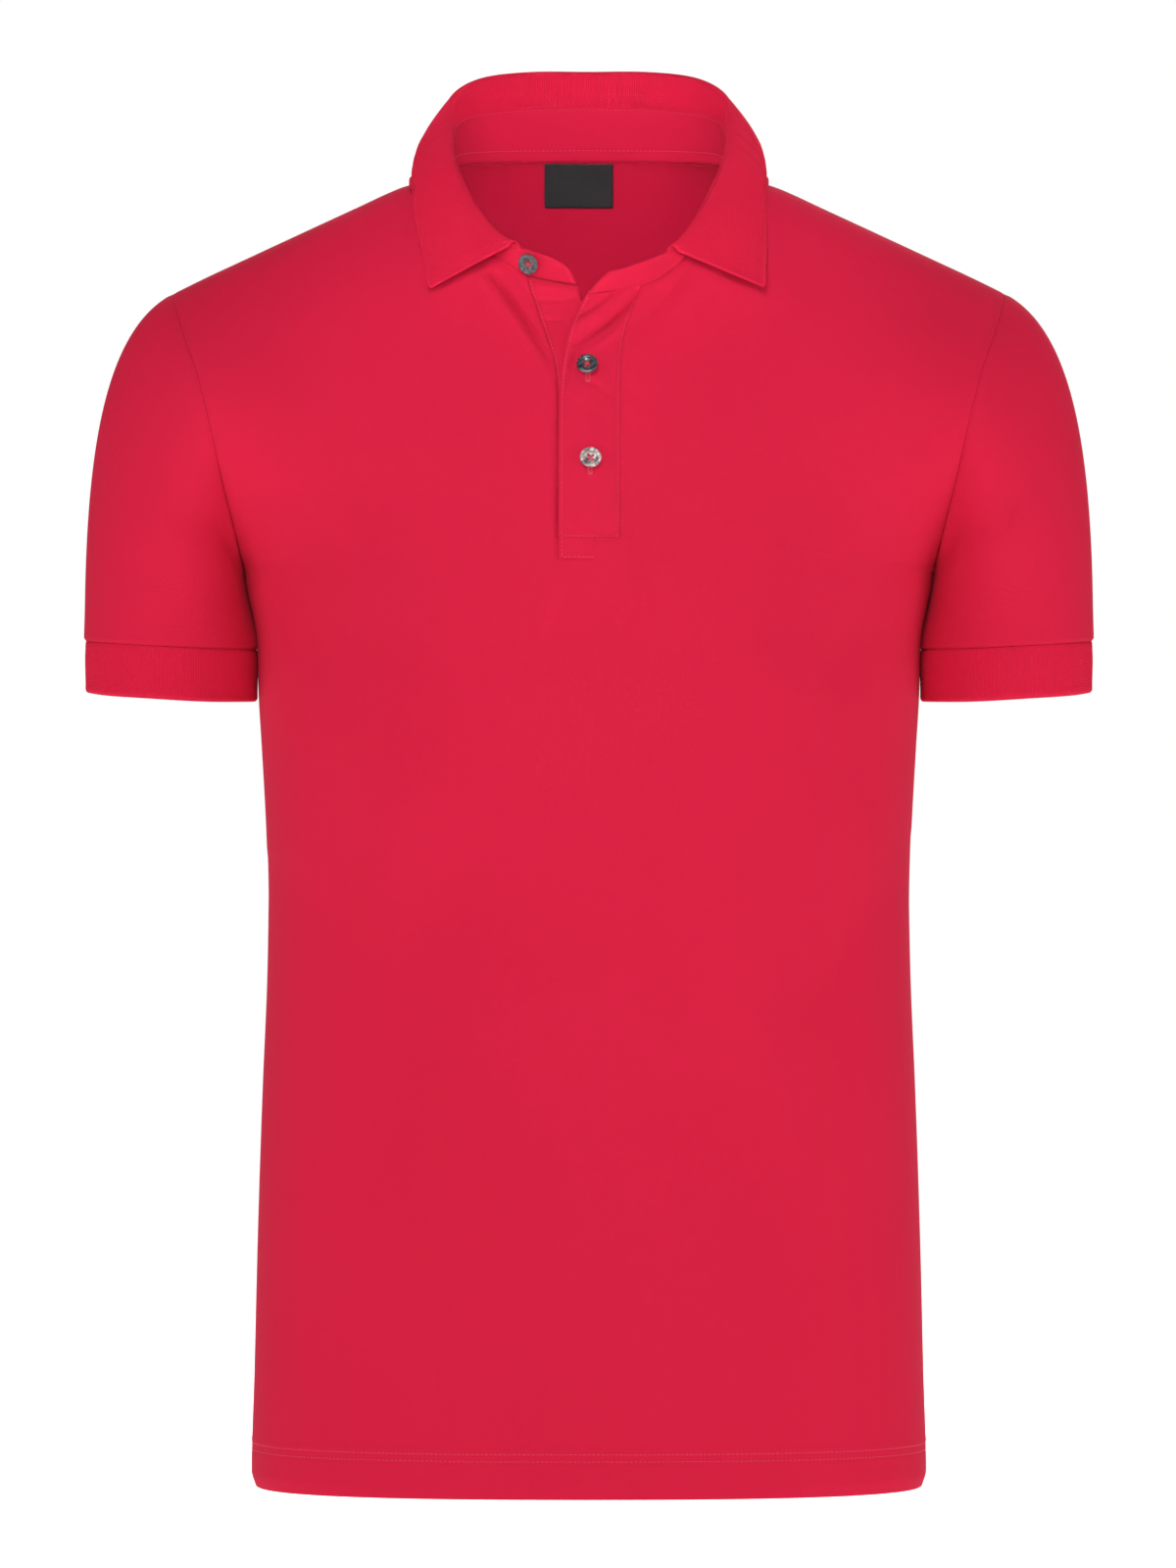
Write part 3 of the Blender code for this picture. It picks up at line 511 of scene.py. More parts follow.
def placket_rise(x, z):
    """How the front's cloth comes up to meet the upper placket where they are sewn together."""
    beside = np.where(x > 0.0, np.maximum(x - slot_edge(z, 1), 0.0), 40.0)
    return SEWN_EDGE_OUT * (1.0 - ease(beside / 9.0)) * ease((z - PLACKET_BASE_Z + 4.0) / 10.0)


def on_cloth(x, z, face, out):
    x, z = np.broadcast_arrays(np.asarray(x, float), np.asarray(z, float))
    base = spot(x, panel_y(x, z, face), z)
    return shifted(base, panel_normal(x, z, face), cloth_lift(x, z, face) + out)


def neck_sag(turn):
    return NECK_SAG * ease((turn - 120.0) / 35.0)


def neck_z(turn):
    return NECK.at(np.abs(turn), "height") - neck_sag(turn)


def neck_seam(turn):
    """The neck seam, at a turn in degrees from the middle of the back to the middle of the front."""
    x = NECK_X * np.sin(np.radians(turn))
    z = neck_z(turn)
    return spot(x, np.where(np.abs(turn) <= 90.0, panel_y(x, z, "back"), panel_y(x, z, "front")), z)


def neck_front_z(x, side):
    return neck_z(side * (180.0 - np.degrees(np.arcsin(np.abs(x) / NECK_X))))


def armhole(turn):
    """The left armhole seam: 90 is the shoulder tip, 0 the front, -90 the underarm, 180 the back."""
    angle = np.radians(turn)
    half = (TIP_Z - UNDERARM_Z) / 2
    z = UNDERARM_Z + half + half * np.sin(angle)
    in_front = np.cos(angle) >= 0
    x = np.where(in_front, side_edge(z, "front"), side_edge(z, "back"))
    return spot(x, np.where(in_front, panel_y(x, z, "front"), panel_y(x, z, "back")), z)


# ---- meshes

def colour(red, green, blue):
    """A colour given as it looks, turned to the linear value a shader takes."""
    def linear(value):
        value /= 255.0
        return value / 12.92 if value <= 0.04045 else ((value + 0.055) / 1.055) ** 2.4
    return (linear(red), linear(green), linear(blue), 1.0)


def surface_normals(points):
    return unit(np.cross(np.gradient(points, axis=1), np.gradient(points, axis=0)))


def outward(points, inside):
    """The normals of a grid of points, on the side away from the points inside it."""
    normals = surface_normals(points)
    side = np.sum(normals * (points - inside))
    return normals if side > 0 else -normals


def cloth_lengths(points):
    """Each grid point's way along the cloth, across and up, in metres, for the knit to follow."""
    across = way_along(points, 1)
    across -= across[:, [points.shape[1] // 2]]
    return np.stack((across, way_along(points)), axis=-1) * MM


def in_scene(name, data):
    thing = bpy.data.objects.new(name, data)
    bpy.context.scene.collection.objects.link(thing)
    return thing


def add_object(name, mesh, finish):
    mesh.shade_smooth()
    mesh.materials.append(finish)
    return in_scene(name, mesh)


def mesh_from(bm, name):
    mesh = bpy.data.meshes.new(name)
    bm.to_mesh(mesh)
    bm.free()
    return mesh


def vertex_places(mesh):
    places = np.empty(len(mesh.vertices) * 3, dtype=np.float32)
    mesh.vertices.foreach_get("co", places)
    return places.reshape(-1, 3)


def move_vertices(mesh, points):
    """Put the vertices at points given in millimetres."""
    mesh.vertices.foreach_set("co", (points * MM).astype(np.float32).ravel())


def add_sheet(name, points, inside, finish, wall, marks=None, keep=None):
    """A sheet of cloth through a grid of points in millimetres, facing away from the points inside it."""
    rows, columns = points.shape[:2]
    bm = bmesh.new()
    bmesh.ops.create_grid(bm, x_segments=columns - 1, y_segments=rows - 1, size=0.5)
    if keep is not None:
        def kept(face):
            middle = face.calc_center_median()
            return keep(int((middle.x + 0.5) * (columns - 1)), int((middle.y + 0.5) * (rows - 1)))

        gone = [face for face in bm.faces if not kept(face)]
        bmesh.ops.delete(bm, geom=gone, context="FACES")
    mesh = mesh_from(bm, name)
    places = vertex_places(mesh)
    column = np.rint((places[:, 0] + 0.5) * (columns - 1)).astype(int)
    row = np.rint((places[:, 1] + 0.5) * (rows - 1)).astype(int)
    move_vertices(mesh, points[row, column])
    corners = np.empty(len(mesh.loops), dtype=np.int32)
    mesh.loops.foreach_get("vertex_index", corners)
    layer = mesh.uv_layers.new(name="Cloth")
    layer.uv.foreach_set("vector", cloth_lengths(points)[row, column][corners].astype(np.float32).ravel())
    for mark, values in (marks or {}).items():
        layer = mesh.attributes.new(mark, "FLOAT", "POINT")
        values = np.broadcast_to(values, (rows, columns))
        layer.data.foreach_set("value", values[row, column].astype(np.float32))
    if np.sum(surface_normals(points) * (points - inside)) < 0:
        mesh.flip_normals()
    mesh.update()
    piece = add_object(name, mesh, finish)
    solid = piece.modifiers.new("Wall", "SOLIDIFY")
    solid.thickness = wall * MM
    solid.offset = -1.0
    piece.modifiers.new("Even shading", "WEIGHTED_NORMAL").keep_sharp = True
    return piece


def dress(piece, slot, *nodes):
    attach(piece, "root")
    if nodes:
        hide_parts(*nodes)


def core(points, x=0.0, y=0.0):
    """Points on the upright line inside a tube, level with the given ones."""
    return spot(np.full(points.shape[:2], x), y, points[..., 2])


# ---- front and back

def top_edge(across, face, side):
    share = np.minimum(across / NECK_SHARE, 1.0)
    if face == "back":
        turn = 90.0 * share
    else:
        first = 180.0 - math.degrees(math.asin(float(slot_edge(0.0, side)) / NECK_X))
        turn = blend(first, 90.0, share)
    x = blend(NECK_X, TIP_X, (across - NECK_SHARE) / (1.0 - NECK_SHARE))
    on_neck = across < NECK_SHARE
    return (np.where(on_neck, NECK_X * np.sin(np.radians(turn)), x),
            np.where(on_neck, neck_z(turn * side), SHOULDER.at(x, "height")))


def inner_edge(z, face, side):
    return slot_edge(z, side) if face == "front" else np.zeros(np.shape(z))


def level_x(across, z, face, side):
    """Even steps round a level section, from the panel's inner edge to its side edge."""
    turn = bend(z)
    power = SQUARENESS / 2.0
    first = np.arcsin(np.minimum((inner_edge(z, face, side) * turn) ** power, 1.0))
    last = np.arcsin(np.minimum((side_edge(z, face) * turn) ** power, 1.0))
    return np.sin(blend(first, last, across)) ** (1.0 / power) / turn


def hem_z(x, face):
    middle = 1.0 - (x / float(BODY.at(HEM_Z, "half_width"))) ** 2
    return HEM_Z + (HEM_RISE if face == "front" else -HEM_DROP) * middle


def hem_profile():
    """The hem from its raw edge inside, round the fold and up the outside: height and depth."""
    radius = CLOTH + HEM_GAP / 2
    inner = [(height, 2 * radius) for height in (HEM_DEPTH, 22.0, 16.0, 9.0, 4.0, 1.6)]
    turned = [(radius * (1.0 - math.sin(math.radians(a))), radius * (1.0 - math.cos(math.radians(a))))
              for a in (180, 150, 120, 90, 60, 30)]
    outer = [(height, 0.0) for height in np.linspace(radius, HEM_ZONE, 25)]
    return np.array(inner + turned + outer)


def panel_points(face, side, across, shares, yoke):
    """Half a panel: its points, how deep its hem turns them in, and how near its side or top they are."""
    low, high = UNDERARM_Z, SLOT_BASE_Z if face == "front" else UNDERARM_Z
    base = blend(high, low, ease(across))
    profile = hem_profile()
    hem = hem_z(level_x(across, HEM_Z + 8.0, face, side), face)
    z_hem = hem + profile[:, :1]
    z_body = blend(hem + HEM_ZONE, base, shares[:, None])
    z_low = np.concatenate((z_hem, z_body))
    x_low = level_x(across, z_low, face, side)
    edge_x = level_x(across, np.full_like(z_low, UNDERARM_Z), face, side)
    x_low = np.where((z_low > UNDERARM_Z) & (across >= 0.98), edge_x, x_low)
    share = yoke[:, None]
    climb = (1.0 - np.cos(math.pi * share)) / 2
    side_z = blend(UNDERARM_Z, TIP_Z, climb)
    top_x, top_z = top_edge(across, face, side)
    low_z = blend(base, top_z, climb)
    inner = inner_edge(low_z, face, side)
    edge = side_edge(side_z, face)
    side_inner = inner_edge(side_z, face, side)
    level = (level_x(across, side_z, face, side) - side_inner) / (edge - side_inner)
    top = (top_x - top_x[0]) / (TIP_X - top_x[0])
    x_high = inner + (edge - inner) * blend(level, top, ease(share))
    lift = SHOULDER.at(x_high, "height") - SHOULDER.at(top_x, "height")
    lift = lift * ease((across - 0.2) / 0.2) * ease((1.0 - across) / 0.15)
    z_high = blend(base, top_z + lift, climb)
    x = np.concatenate((x_low, x_high))
    z = np.concatenate((z_low, z_high))
    depth = np.zeros(x.shape)
    depth[:len(profile)] = profile[:, 1:]
    plain = spot(side * x, panel_y(x, z, face), z)
    from_side = way_along(plain[:, ::-1], 1)[:, ::-1]
    from_top = way_along(plain[::-1])[::-1]
    return plain, depth, np.minimum(from_side, from_top)


def finish_panel(plain, depth, nearest, face):
    """Give a panel its hem, seams, folds and the marks of its needles."""
    x, z = plain[..., 0], plain[..., 2]
    out = SEAM_DIP * (1.0 - hump(nearest, SEAM_WIDTH)) + cloth_lift(x, z, face) - depth
    if face == "front":
        out += placket_rise(x, z)
    above_hem = z - hem_z(np.abs(x), face)
    for needle in HEM_NEEDLES:
        out -= NEEDLE_DIP * hump(above_hem - needle, 0.9) * (depth == 0.0)
    out += 0.25 * hump(above_hem - HEM_DEPTH + 1.0, 1.4) * (depth == 0.0)
    return shifted(plain, panel_normal(x, z, face), out)


def make_front(finish):
    across = np.concatenate((np.linspace(0.0, 0.17, 26), np.linspace(0.17, 0.965, 62)[1:],
                             SIDE_STEPS))
    shares = np.linspace(0.0, 1.0, 86)[1:]
    yoke = np.linspace(0.0, 1.0, ARMHOLE_STEPS + 1)[1:]
    (right, depth, near_right), (left, _, near_left) = [
        panel_points("front", side, across, shares, yoke) for side in (-1, 1)]
    slot = 10    # columns across the slit for the placket
    between = np.linspace(0.0, 1.0, slot + 1)[1:-1]
    x = blend(right[:, :1, 0], left[:, :1, 0], between)
    z = blend(right[:, :1, 2], left[:, :1, 2], between)
    middle = spot(x, panel_y(x, z, "front"), z)
    plain = np.concatenate((right[:, ::-1], middle, left), axis=1)
    base = len(plain) - len(yoke) - 1
    for half, near in ((right, near_right), (left, near_left)):
        near[base:] = np.minimum(near[base:], way_along(half, 1)[base:])
    nearest = np.concatenate((near_right[:, ::-1], np.full(x.shape, FAR), near_left), axis=1)
    points = finish_panel(plain, np.repeat(depth[:, :1], plain.shape[1], axis=1), nearest, "front")
    first = len(across) - 1

    def keep(column, row):
        return not (first <= column < first + slot and row >= base)

    piece = add_sheet("front", points, core(points), finish, CLOTH, keep=keep)
    dress(piece, "body_cloth", "front_panel")


def make_back(finish):
    across = np.concatenate((np.linspace(0.0, 0.965, 68), SIDE_STEPS))
    shares = np.linspace(0.0, 1.0, 76)[1:]
    yoke = np.linspace(0.0, 1.0, ARMHOLE_STEPS + 1)[1:]
    (right, _, near_right), (left, depth, near_left) = [
        panel_points("back", side, across, shares, yoke) for side in (-1, 1)]
    plain = np.concatenate((right[:, :0:-1], left), axis=1)
    nearest = np.concatenate((near_right[:, :0:-1], near_left), axis=1)
    points = finish_panel(plain, np.repeat(depth[:, :1], plain.shape[1], axis=1), nearest, "back")
    piece = add_sheet("back", points, core(points), finish, CLOTH)
    dress(piece, "body_cloth", "back_panel")


# ---- sleeves and cuffs

def cuff_ring(turn, radius, height):
    """A point of the left cuff's ring: turn as on the armhole, so that 90 is the outer side."""
    angle = np.radians(turn)
    sag = CUFF_SAG * np.abs(np.cos(angle))
    return spot(CUFF_X + radius * np.sin(angle), CUFF_Y - radius * np.cos(angle),
                height + CUFF_SLANT * np.sin(angle) - sag)


def sleeve_points(turn, along):
    """The left sleeve, from the armhole at 0 to the cuff seam at 1."""
    over = np.sin(np.radians(turn))
    front = np.cos(np.radians(turn))

    def value(column):
        low, middle, high = SLEEVE.rows[:, SLEEVE.columns.index(column)]
        return middle + over * (high - low) / 2 + over * over * ((high + low) / 2 - middle)

    start = armhole(turn)
    end = cuff_ring(turn, CUFF_RADIUS + 0.3, CUFF_TOP_Z)
    leave = unit(spot(value("out"), -value("forth") * front, value("down")))
    first = shifted(start, leave, value("start"))
    second = end + spot(0.0, 0.0, value("end"))
    along = along[:, None, None]
    rest = 1.0 - along
    return (start * rest ** 3 + first * 3 * rest ** 2 * along + second * 3 * rest * along ** 2
            + end * along ** 3)


def mirrored(points, side):
    return points * np.array((side, 1.0, 1.0))


def make_sleeve(hand, side, finish):
    along = np.concatenate(((0.0, 0.006, 0.012, 0.02, 0.03), np.linspace(0.045, 0.965, 62),
                            (0.975, 0.983, 0.989, 0.994, 0.998, 1.0)))
    turn = np.linspace(-90.0, 270.0, 2 * ARMHOLE_STEPS + 1)
    plain = sleeve_points(turn, along)
    middle = spot(blend(ARMHOLE_X, CUFF_X, along[:, None] + 0 * turn), CUFF_Y, plain[..., 2])
    from_armhole = way_along(plain)
    from_cuff = from_armhole[-1] - from_armhole
    from_seam = way_along(plain, 1)
    from_seam = np.minimum(from_seam, from_seam[:, -1:] - from_seam)
    fade = ease(from_cuff / 14.0) * ease(from_armhole / 6.0)
    folds = np.zeros(plain.shape[:2])
    shown_turn = np.where(turn > 180.0, turn - 360.0, turn)
    lines = np.array(SLEEVE_FOLDS)
    lines[:, 0:6:2] *= TURN_SIZE
    for wrap in (-360.0, 0.0, 360.0):
        across = (shown_turn + wrap) * TURN_SIZE + 0 * along[:, None]
        folds += fold_relief(across, along[:, None] + 0 * across, lines)
    out = SEAM_DIP * (1.0 - hump(np.minimum(from_armhole, from_seam), SEAM_WIDTH)) + folds * fade
    out += SLEEVE_OVERHANG * ease(from_cuff / 1.8) * hump(from_cuff, 11.0)
    out -= 0.75 * hump(from_cuff, 0.7)
    points = shifted(plain, outward(plain, middle), out)
    piece = add_sheet("sleeve_cloth_" + hand, mirrored(points, side), mirrored(middle, side), finish, CLOTH)
    dress(piece, "body_cloth", "sleeve_" + hand)


def rib_wave(length):
    """The heights of the ribs along a length, 0 in the grooves and 1 on the crests."""
    columns = round(length / RIB_PITCH) * RIB_STEPS
    return np.abs(np.sin(np.pi * np.arange(columns + 1) / RIB_STEPS)) ** 0.8


def make_cuff(hand, side, finish):
    high = CUFF_TOP_Z - CUFF_BASE_Z
    rows = np.array((
        # height above the base, change of radius, rib's share
        (0, -0.9, 0), (0.5, -0.35, 0.2), (1.3, 0, 0.35), (2.4, 0.1, 0.7), (5, 0, 1), (8, 0.1, 1),
        (12, 0.2, 1), (16, 0.3, 1), (20, 0.3, 1), (24, 0.1, 1), (high - 2.4, 0.1, 1),
        (high - 0.6, -0.15, 0.8), (high + 0.3, -1, 0.3), (high + 1.4, -2, 0)))
    ribs = rib_wave(math.tau * CUFF_RADIUS)
    turn = np.linspace(-90.0, 270.0, len(ribs))
    radius = CUFF_RADIUS + rows[:, 1:2] + RIB_DEPTH * (ribs - 0.6) * rows[:, 2:3]
    height = CUFF_BASE_Z + rows[:, :1] + 0.12 * np.sin(np.radians(turn) * 5.0)
    points = cuff_ring(turn, radius, height)
    middle = core(points, CUFF_X, CUFF_Y)
    # The groove mark darkens the grooves between the ribs as painted shade, and the edge mark lightens the
    # folded lower edge as a painted highlight.
    marks = {"groove_shade": (1.0 - ribs) * rows[:, 2:3] * 0.55, "edge": hump(rows[:, :1], 1.6)}
    piece = add_sheet("rib_cuff_" + hand, mirrored(points, side), mirrored(middle, side), finish, RIB,
                      marks)
    dress(piece, "rib_knit", "cuff_" + hand)


# ---- collar

def collar_value(turn, column):
    return COLLAR.at(np.abs(turn), column)


def fold_point(turn):
    return spot(np.sign(turn) * collar_value(turn, "fold_x"), collar_value(turn, "fold_y"),
                collar_value(turn, "fold_z") - neck_sag(turn))


def leaf_edge(turn):
    swing = LEAF_SWING * ease((np.abs(turn) - 100.0) / 50.0)
    turn = np.where(turn < 0.0, turn * LEAF_TIP_RIGHT / LEAF_END_RIGHT, turn)
    return spot(np.sign(turn) * collar_value(turn, "edge_x") + swing, collar_value(turn, "edge_y"),
                collar_value(turn, "edge_z"))


def above_body(points, gap):
    """The points, raised softly where they would come nearer to the shoulders than the gap."""
    x, y, z = points[..., 0], points[..., 1], points[..., 2]
    lift = np.zeros(x.shape)
    for face, here in (("front", y < BODY.at(z, "seam_y")), ("back", y >= BODY.at(z, "seam_y"))):
        low = np.full(x.shape, -250.0)
        high = SHOULDER.at(np.abs(x), "height")
        for _ in range(24):
            middle = (low + high) / 2
            beyond = (panel_y(x, middle, face) - y) * (1.0 if face == "back" else -1.0)
            low = np.where(beyond > 0.0, middle, low)
            high = np.where(beyond > 0.0, high, middle)
        steep = np.maximum(panel_normal(x, low - 0.5, face)[..., 2], 0.55)
        short = low + gap / steep - z
        lift = np.where(here, REST_SOFTNESS * np.logaddexp(0.0, short / REST_SOFTNESS), lift)
    return points + spot(0.0, 0.0, lift)


def stand_top(turn):
    return blend(neck_seam(turn), fold_point(turn), collar_value(turn, "stand")[..., None])


def stand_height(turn):
    short = np.clip((STAND_END_RIGHT - np.abs(turn)) / 20.0, 0.0, 1.0)
    rounded = np.maximum(1.0 - (1.0 - short) ** 2.4, 0.0) ** (1 / 2.4) * 0.94 + 0.06
    dipped = 1.0 - STAND_DIP * ease((turn - 154.0) / 20.0)
    return np.where(turn > 0, dipped, np.where(short >= 1.0, 1.0, rounded))


def stand_points(turn, up):
    seam = neck_seam(turn)
    rise = stand_top(turn) - seam
    away = unit(seam * np.array((1.0, 1.0, 0.0)))
    bow = STAND_BOW * np.sin(np.pi * up) + STAND_LAP * ease((turn - 152.0) / 18.0)
    return shifted(seam + rise * (up * stand_height(turn))[..., None], away, bow)


def stand_normal(turn, up):
    """The way out of the stand, away from the neck."""
    round_way = stand_points(turn + 0.5, up) - stand_points(turn - 0.5, up)
    height = stand_height(turn)
    rise = (stand_top(turn) - neck_seam(turn)) * height[..., None]
    bow = STAND_BOW * np.pi * np.cos(np.pi * up)
    away = unit(neck_seam(turn) * np.array((1.0, 1.0, 0.0)))
    normal = unit(np.cross(round_way, shifted(rise, away, bow)))
    return normal * np.sign(np.sum(normal * away, axis=-1, keepdims=True))


def on_stand(turn, up, out):
    turn, up = np.broadcast_arrays(np.asarray(turn, float), np.asarray(up, float))
    return shifted(stand_points(turn, up), stand_normal(turn, up), out)


def make_stand(finish):
    up = np.linspace(0.0, 1.0, 17)[:, None]
    share = np.concatenate((np.linspace(0.0, 0.04, 16), np.linspace(0.04, 1.0, 251)[1:]))
    left = blend(STAND_END_LEFT, STAND_END_LEFT_TOP, up)
    turn = blend(-STAND_END_RIGHT, left, share)
    plain = stand_points(turn, up + 0 * turn)
    high = np.linalg.norm(plain[-1] - plain[0], axis=-1)
    ends = np.minimum(share, 1.0 - share) * STAND_LENGTH
    near = np.minimum(np.minimum(up, 1.0 - up) * high, ends)
    full = np.minimum(high / 12.0, 1.0)
    out = STAND_OUT - (0.4 * hump(near, 0.6) + 0.16 * hump(near - 2.0, 0.6)) * full
    points = on_stand(turn, up + 0 * turn, out)
    middle = spot(0.0, -5.0, points[..., 2]) + 0 * points
    piece = add_sheet("stand", points, middle, finish, STAND_WALL)
    dress(piece, "body_cloth", "collar_stand")


def leaf_points(turn, inside, fold, fall):
    """The rib collar: up inside the neck, over the fold, and down to its outer edge."""
    level = sum(neck_seam(turn + shift) for shift in SEAM_SPREAD) / len(SEAM_SPREAD)
    top = fold_point(turn)
    edge = leaf_edge(turn)
    up = unit(top - level)
    drop = edge - top
    out = unit(drop - up * np.sum(drop * up, axis=-1, keepdims=True))
    foot = stand_top(turn) - up * 3.0 - out * STAND_OUT
    spring = top - up * FOLD_RADIUS
    rows = [blend(foot, spring, share) for share in np.linspace(0.0, 1.0, inside, endpoint=False)]
    for share in np.linspace(0.0, 1.0, fold + 1):
        over, high = 1.0 - math.cos(FOLD_ARC * share), math.sin(FOLD_ARC * share)
        rows.append(spring + out * FOLD_RADIUS * over + up * FOLD_RADIUS * high)
    last = rows.pop()
    crown = blend(last, edge, 0.45) + out * 2.0 * collar_value(turn, "crown")[..., None]
    rows += [above_body(curve(last, crown, edge, share), RIB + LEAF_LIFT) for share in fall]
    return np.array(rows)


def make_leaf(finish):
    sample = np.linspace(-LEAF_END_RIGHT, LEAF_END_LEFT, 401)
    length = way_along(leaf_points(sample, 1, 1, (0.6,))[-1])
    ribs = rib_wave(length[-1])
    place = np.linspace(0.0, length[-1], len(ribs))
    turn = np.interp(place, length, sample)
    fall = np.concatenate((np.linspace(0.0, 0.93, 15), (0.955, 0.975, 0.988, 1.0)))
    points = leaf_points(turn, 5, 7, fall)
    middle = fold_point(turn) + spot(0.0, 0.0, -30.0)
    from_foot = way_along(points)
    near = np.minimum(from_foot[-1] - from_foot, np.minimum(place, place[-1] - place))
    shown = ease((near - SELVEDGE * 0.5) / SELVEDGE)
    out = RIB_DEPTH * (ribs - 0.6) * shown + 0.2 * hump(near - SELVEDGE * 0.5, SELVEDGE * 0.5)
    out -= 0.35 * hump(near, 0.5)
    points = shifted(points, outward(points, middle), out)
    # The groove mark darkens the grooves between the ribs as painted shade, and the edge mark lightens the
    # collar's edges as a painted highlight.
    marks = {"groove_shade": (1.0 - ribs) * shown, "edge": hump(near - 0.6, SELVEDGE * 0.55)}
    piece = add_sheet("rib_collar", points, middle, finish, RIB, marks)
    dress(piece, "rib_knit", "collar_leaf")


# ---- plackets and label

def placket_out(share):
    """How far the upper placket's outer face is out, at shares of the way from its free edge."""
    return blend(FREE_EDGE_OUT, SEWN_EDGE_OUT, ease(share * 1.1))


def base_share(above):
    """The part of that which is left at heights above the placket's base."""
    return blend(0.75, 1.0, ease(above / 25.0))


def make_upper_placket(finish):
    z = np.concatenate((PLACKET_BASE_Z + np.array((0.0, 0.4, 0.9, 1.5)),
                        np.linspace(PLACKET_BASE_Z + 2.4, UPPER_PLACKET.rows[-1, 0], 170)))[:, None]
    share = np.concatenate(((0.0, 0.012, 0.028, 0.05), np.linspace(0.08, 0.93, 37),
                            (0.955, 0.975, 0.99, 1.0)))
    x = blend(UPPER_PLACKET.at(z, "free"), UPPER_PLACKET.at(z, "sewn"), share)
    from_free = x - UPPER_PLACKET.at(z, "free")
    from_sewn = UPPER_PLACKET.at(z, "sewn") - x
    from_base = z - PLACKET_BASE_Z + 0 * x
    level = np.minimum(z + 0 * x, neck_front_z(x, 1) - PLACKET_DROP)
    out = placket_out(share) * base_share(from_base)
    out -= 0.4 * hump(np.minimum(from_free, from_base), 0.6) + SEAM_DIP * hump(from_sewn, SEAM_WIDTH * 0.7)
    out -= 0.3 * hump(from_free - FREE_ROW, 0.7) + 0.25 * hump(from_sewn - SEWN_ROW, 0.6)
    for row in BOX_ROWS:
        out -= 0.35 * hump(z - row, 0.8)
    points = on_cloth(x, level, "front", out)
    piece = add_sheet("placket_over", points, core(points), finish, DOUBLE_CLOTH)
    dress(piece, "body_cloth", "placket_upper")


def make_under_placket(finish):
    share = np.concatenate(((0.0, 0.015, 0.035, 0.06), np.linspace(0.09, 0.95, 34), (0.97, 0.99, 1.0)))
    rise = np.linspace(0.0, 1.0, 140)[:, None]
    top_x = blend(UNDER_SEWN_TOP, UNDER_FREE_TOP, share)
    top_z = neck_front_z(top_x, -1) - 0.2
    z = blend(SLOT_BASE_Z + 0.6, top_z, rise)
    right = -slot_edge(z, -1)
    free = blend(UNDER_FREE, UNDER_FREE_TOP, ease((z + 130.0) / 66.0))
    x = blend(right, free, share)
    out = -0.3 + 0.75 * (1.0 - hump(x - right, SEAM_WIDTH * 0.7)) * (1.0 - ease(share * 1.6))
    out -= 0.25 * hump(x - right - 1.2, 0.6) + 0.4 * hump(free - x, 0.7)
    points = on_cloth(x, z, "front", out)
    piece = add_sheet("placket_below", points, core(points), finish, CLOTH)
    dress(piece, "body_cloth", "placket_under")


def make_label(finish):
    x = np.linspace(LABEL_RIGHT, LABEL_LEFT, 41)
    z = np.linspace(LABEL_BASE_Z, LABEL_TOP_Z, 27)[:, None]
    near = np.minimum(np.minimum(x - LABEL_RIGHT, LABEL_LEFT - x), z - LABEL_BASE_Z)
    curl = 0.7 * ease((-6.0 - z) / 9.0) * np.abs((x - (LABEL_RIGHT + LABEL_LEFT) / 2) / 19.0) ** 2
    out = -(CLOTH + 0.45) - curl - 0.1 * np.cos(x / 6.0)
    out += 0.25 * hump(near, 0.5)
    out -= 0.12 * hump(near - 1.3, 0.4)
    points = on_cloth(x, z, "back", out)
    piece = add_sheet("label", points, core(points, 0.0, 600.0), finish, LABEL)
    piece.modifiers["Wall"].offset = 1.0
    dress(piece, "label", "neck_label")


# ---- thread

def strands(count):
    """So many small round strands, one after the other in a mesh."""
    ball = bmesh.new()
    bmesh.ops.create_uvsphere(ball, u_segments=6, v_segments=4, radius=1.0)
    single = mesh_from(ball, "strand")
    bm = bmesh.new()
    for _ in range(count):
        bm.from_mesh(single)
    bpy.data.meshes.remove(single)
    return bm


def add_stitches(name, middles, alongs, outs, length, width, finish):
    """Short rounded strands of thread as one piece, each along its way and flat to the cloth."""
    mesh = mesh_from(strands(len(middles)), name)
    strand = vertex_places(mesh).reshape(len(middles), -1, 3)
    alongs = unit(alongs)[:, None]
    sides = unit(np.cross(outs[:, None], alongs))
    lifts = np.cross(alongs, sides)
    shaped = (middles[:, None] + sides * strand[..., :1] * width / 2
              + lifts * strand[..., 1:2] * width * 0.42
              + alongs * strand[..., 2:] * np.reshape(length, (-1, 1, 1)) / 2)
    move_vertices(mesh, shaped)
    mesh.update()
    dress(add_object(name, mesh, finish), "body_cloth")


def sew(name, lines, finish, pitch=STITCH_PITCH, length=STITCH_LENGTH, width=THREAD):
    """Rows of stitches as one piece. Each line is its points and the ways out of the cloth there."""
    middles, alongs, outs = [], [], []
    for points, ways in lines:
        place = way_along(points)
        count = max(int(place[-1] / pitch), 1)
        middle = (np.arange(count) + 0.5) * place[-1] / count

        def read(values, where):
            return np.stack([np.interp(where, place, values[:, k]) for k in range(3)], axis=-1)

        ends = [read(points, middle + half) for half in (-length / 2, length / 2)]
        middles.append((ends[0] + ends[1]) / 2)
        alongs.append(ends[1] - ends[0])
        outs.append(unit(read(ways, middle)))
    add_stitches(name, np.concatenate(middles), np.concatenate(alongs), np.concatenate(outs),
                 length, width, finish)


def cloth_line(x, z, face, out):
    return on_cloth(x, z, face, out), panel_normal(x, z, face)


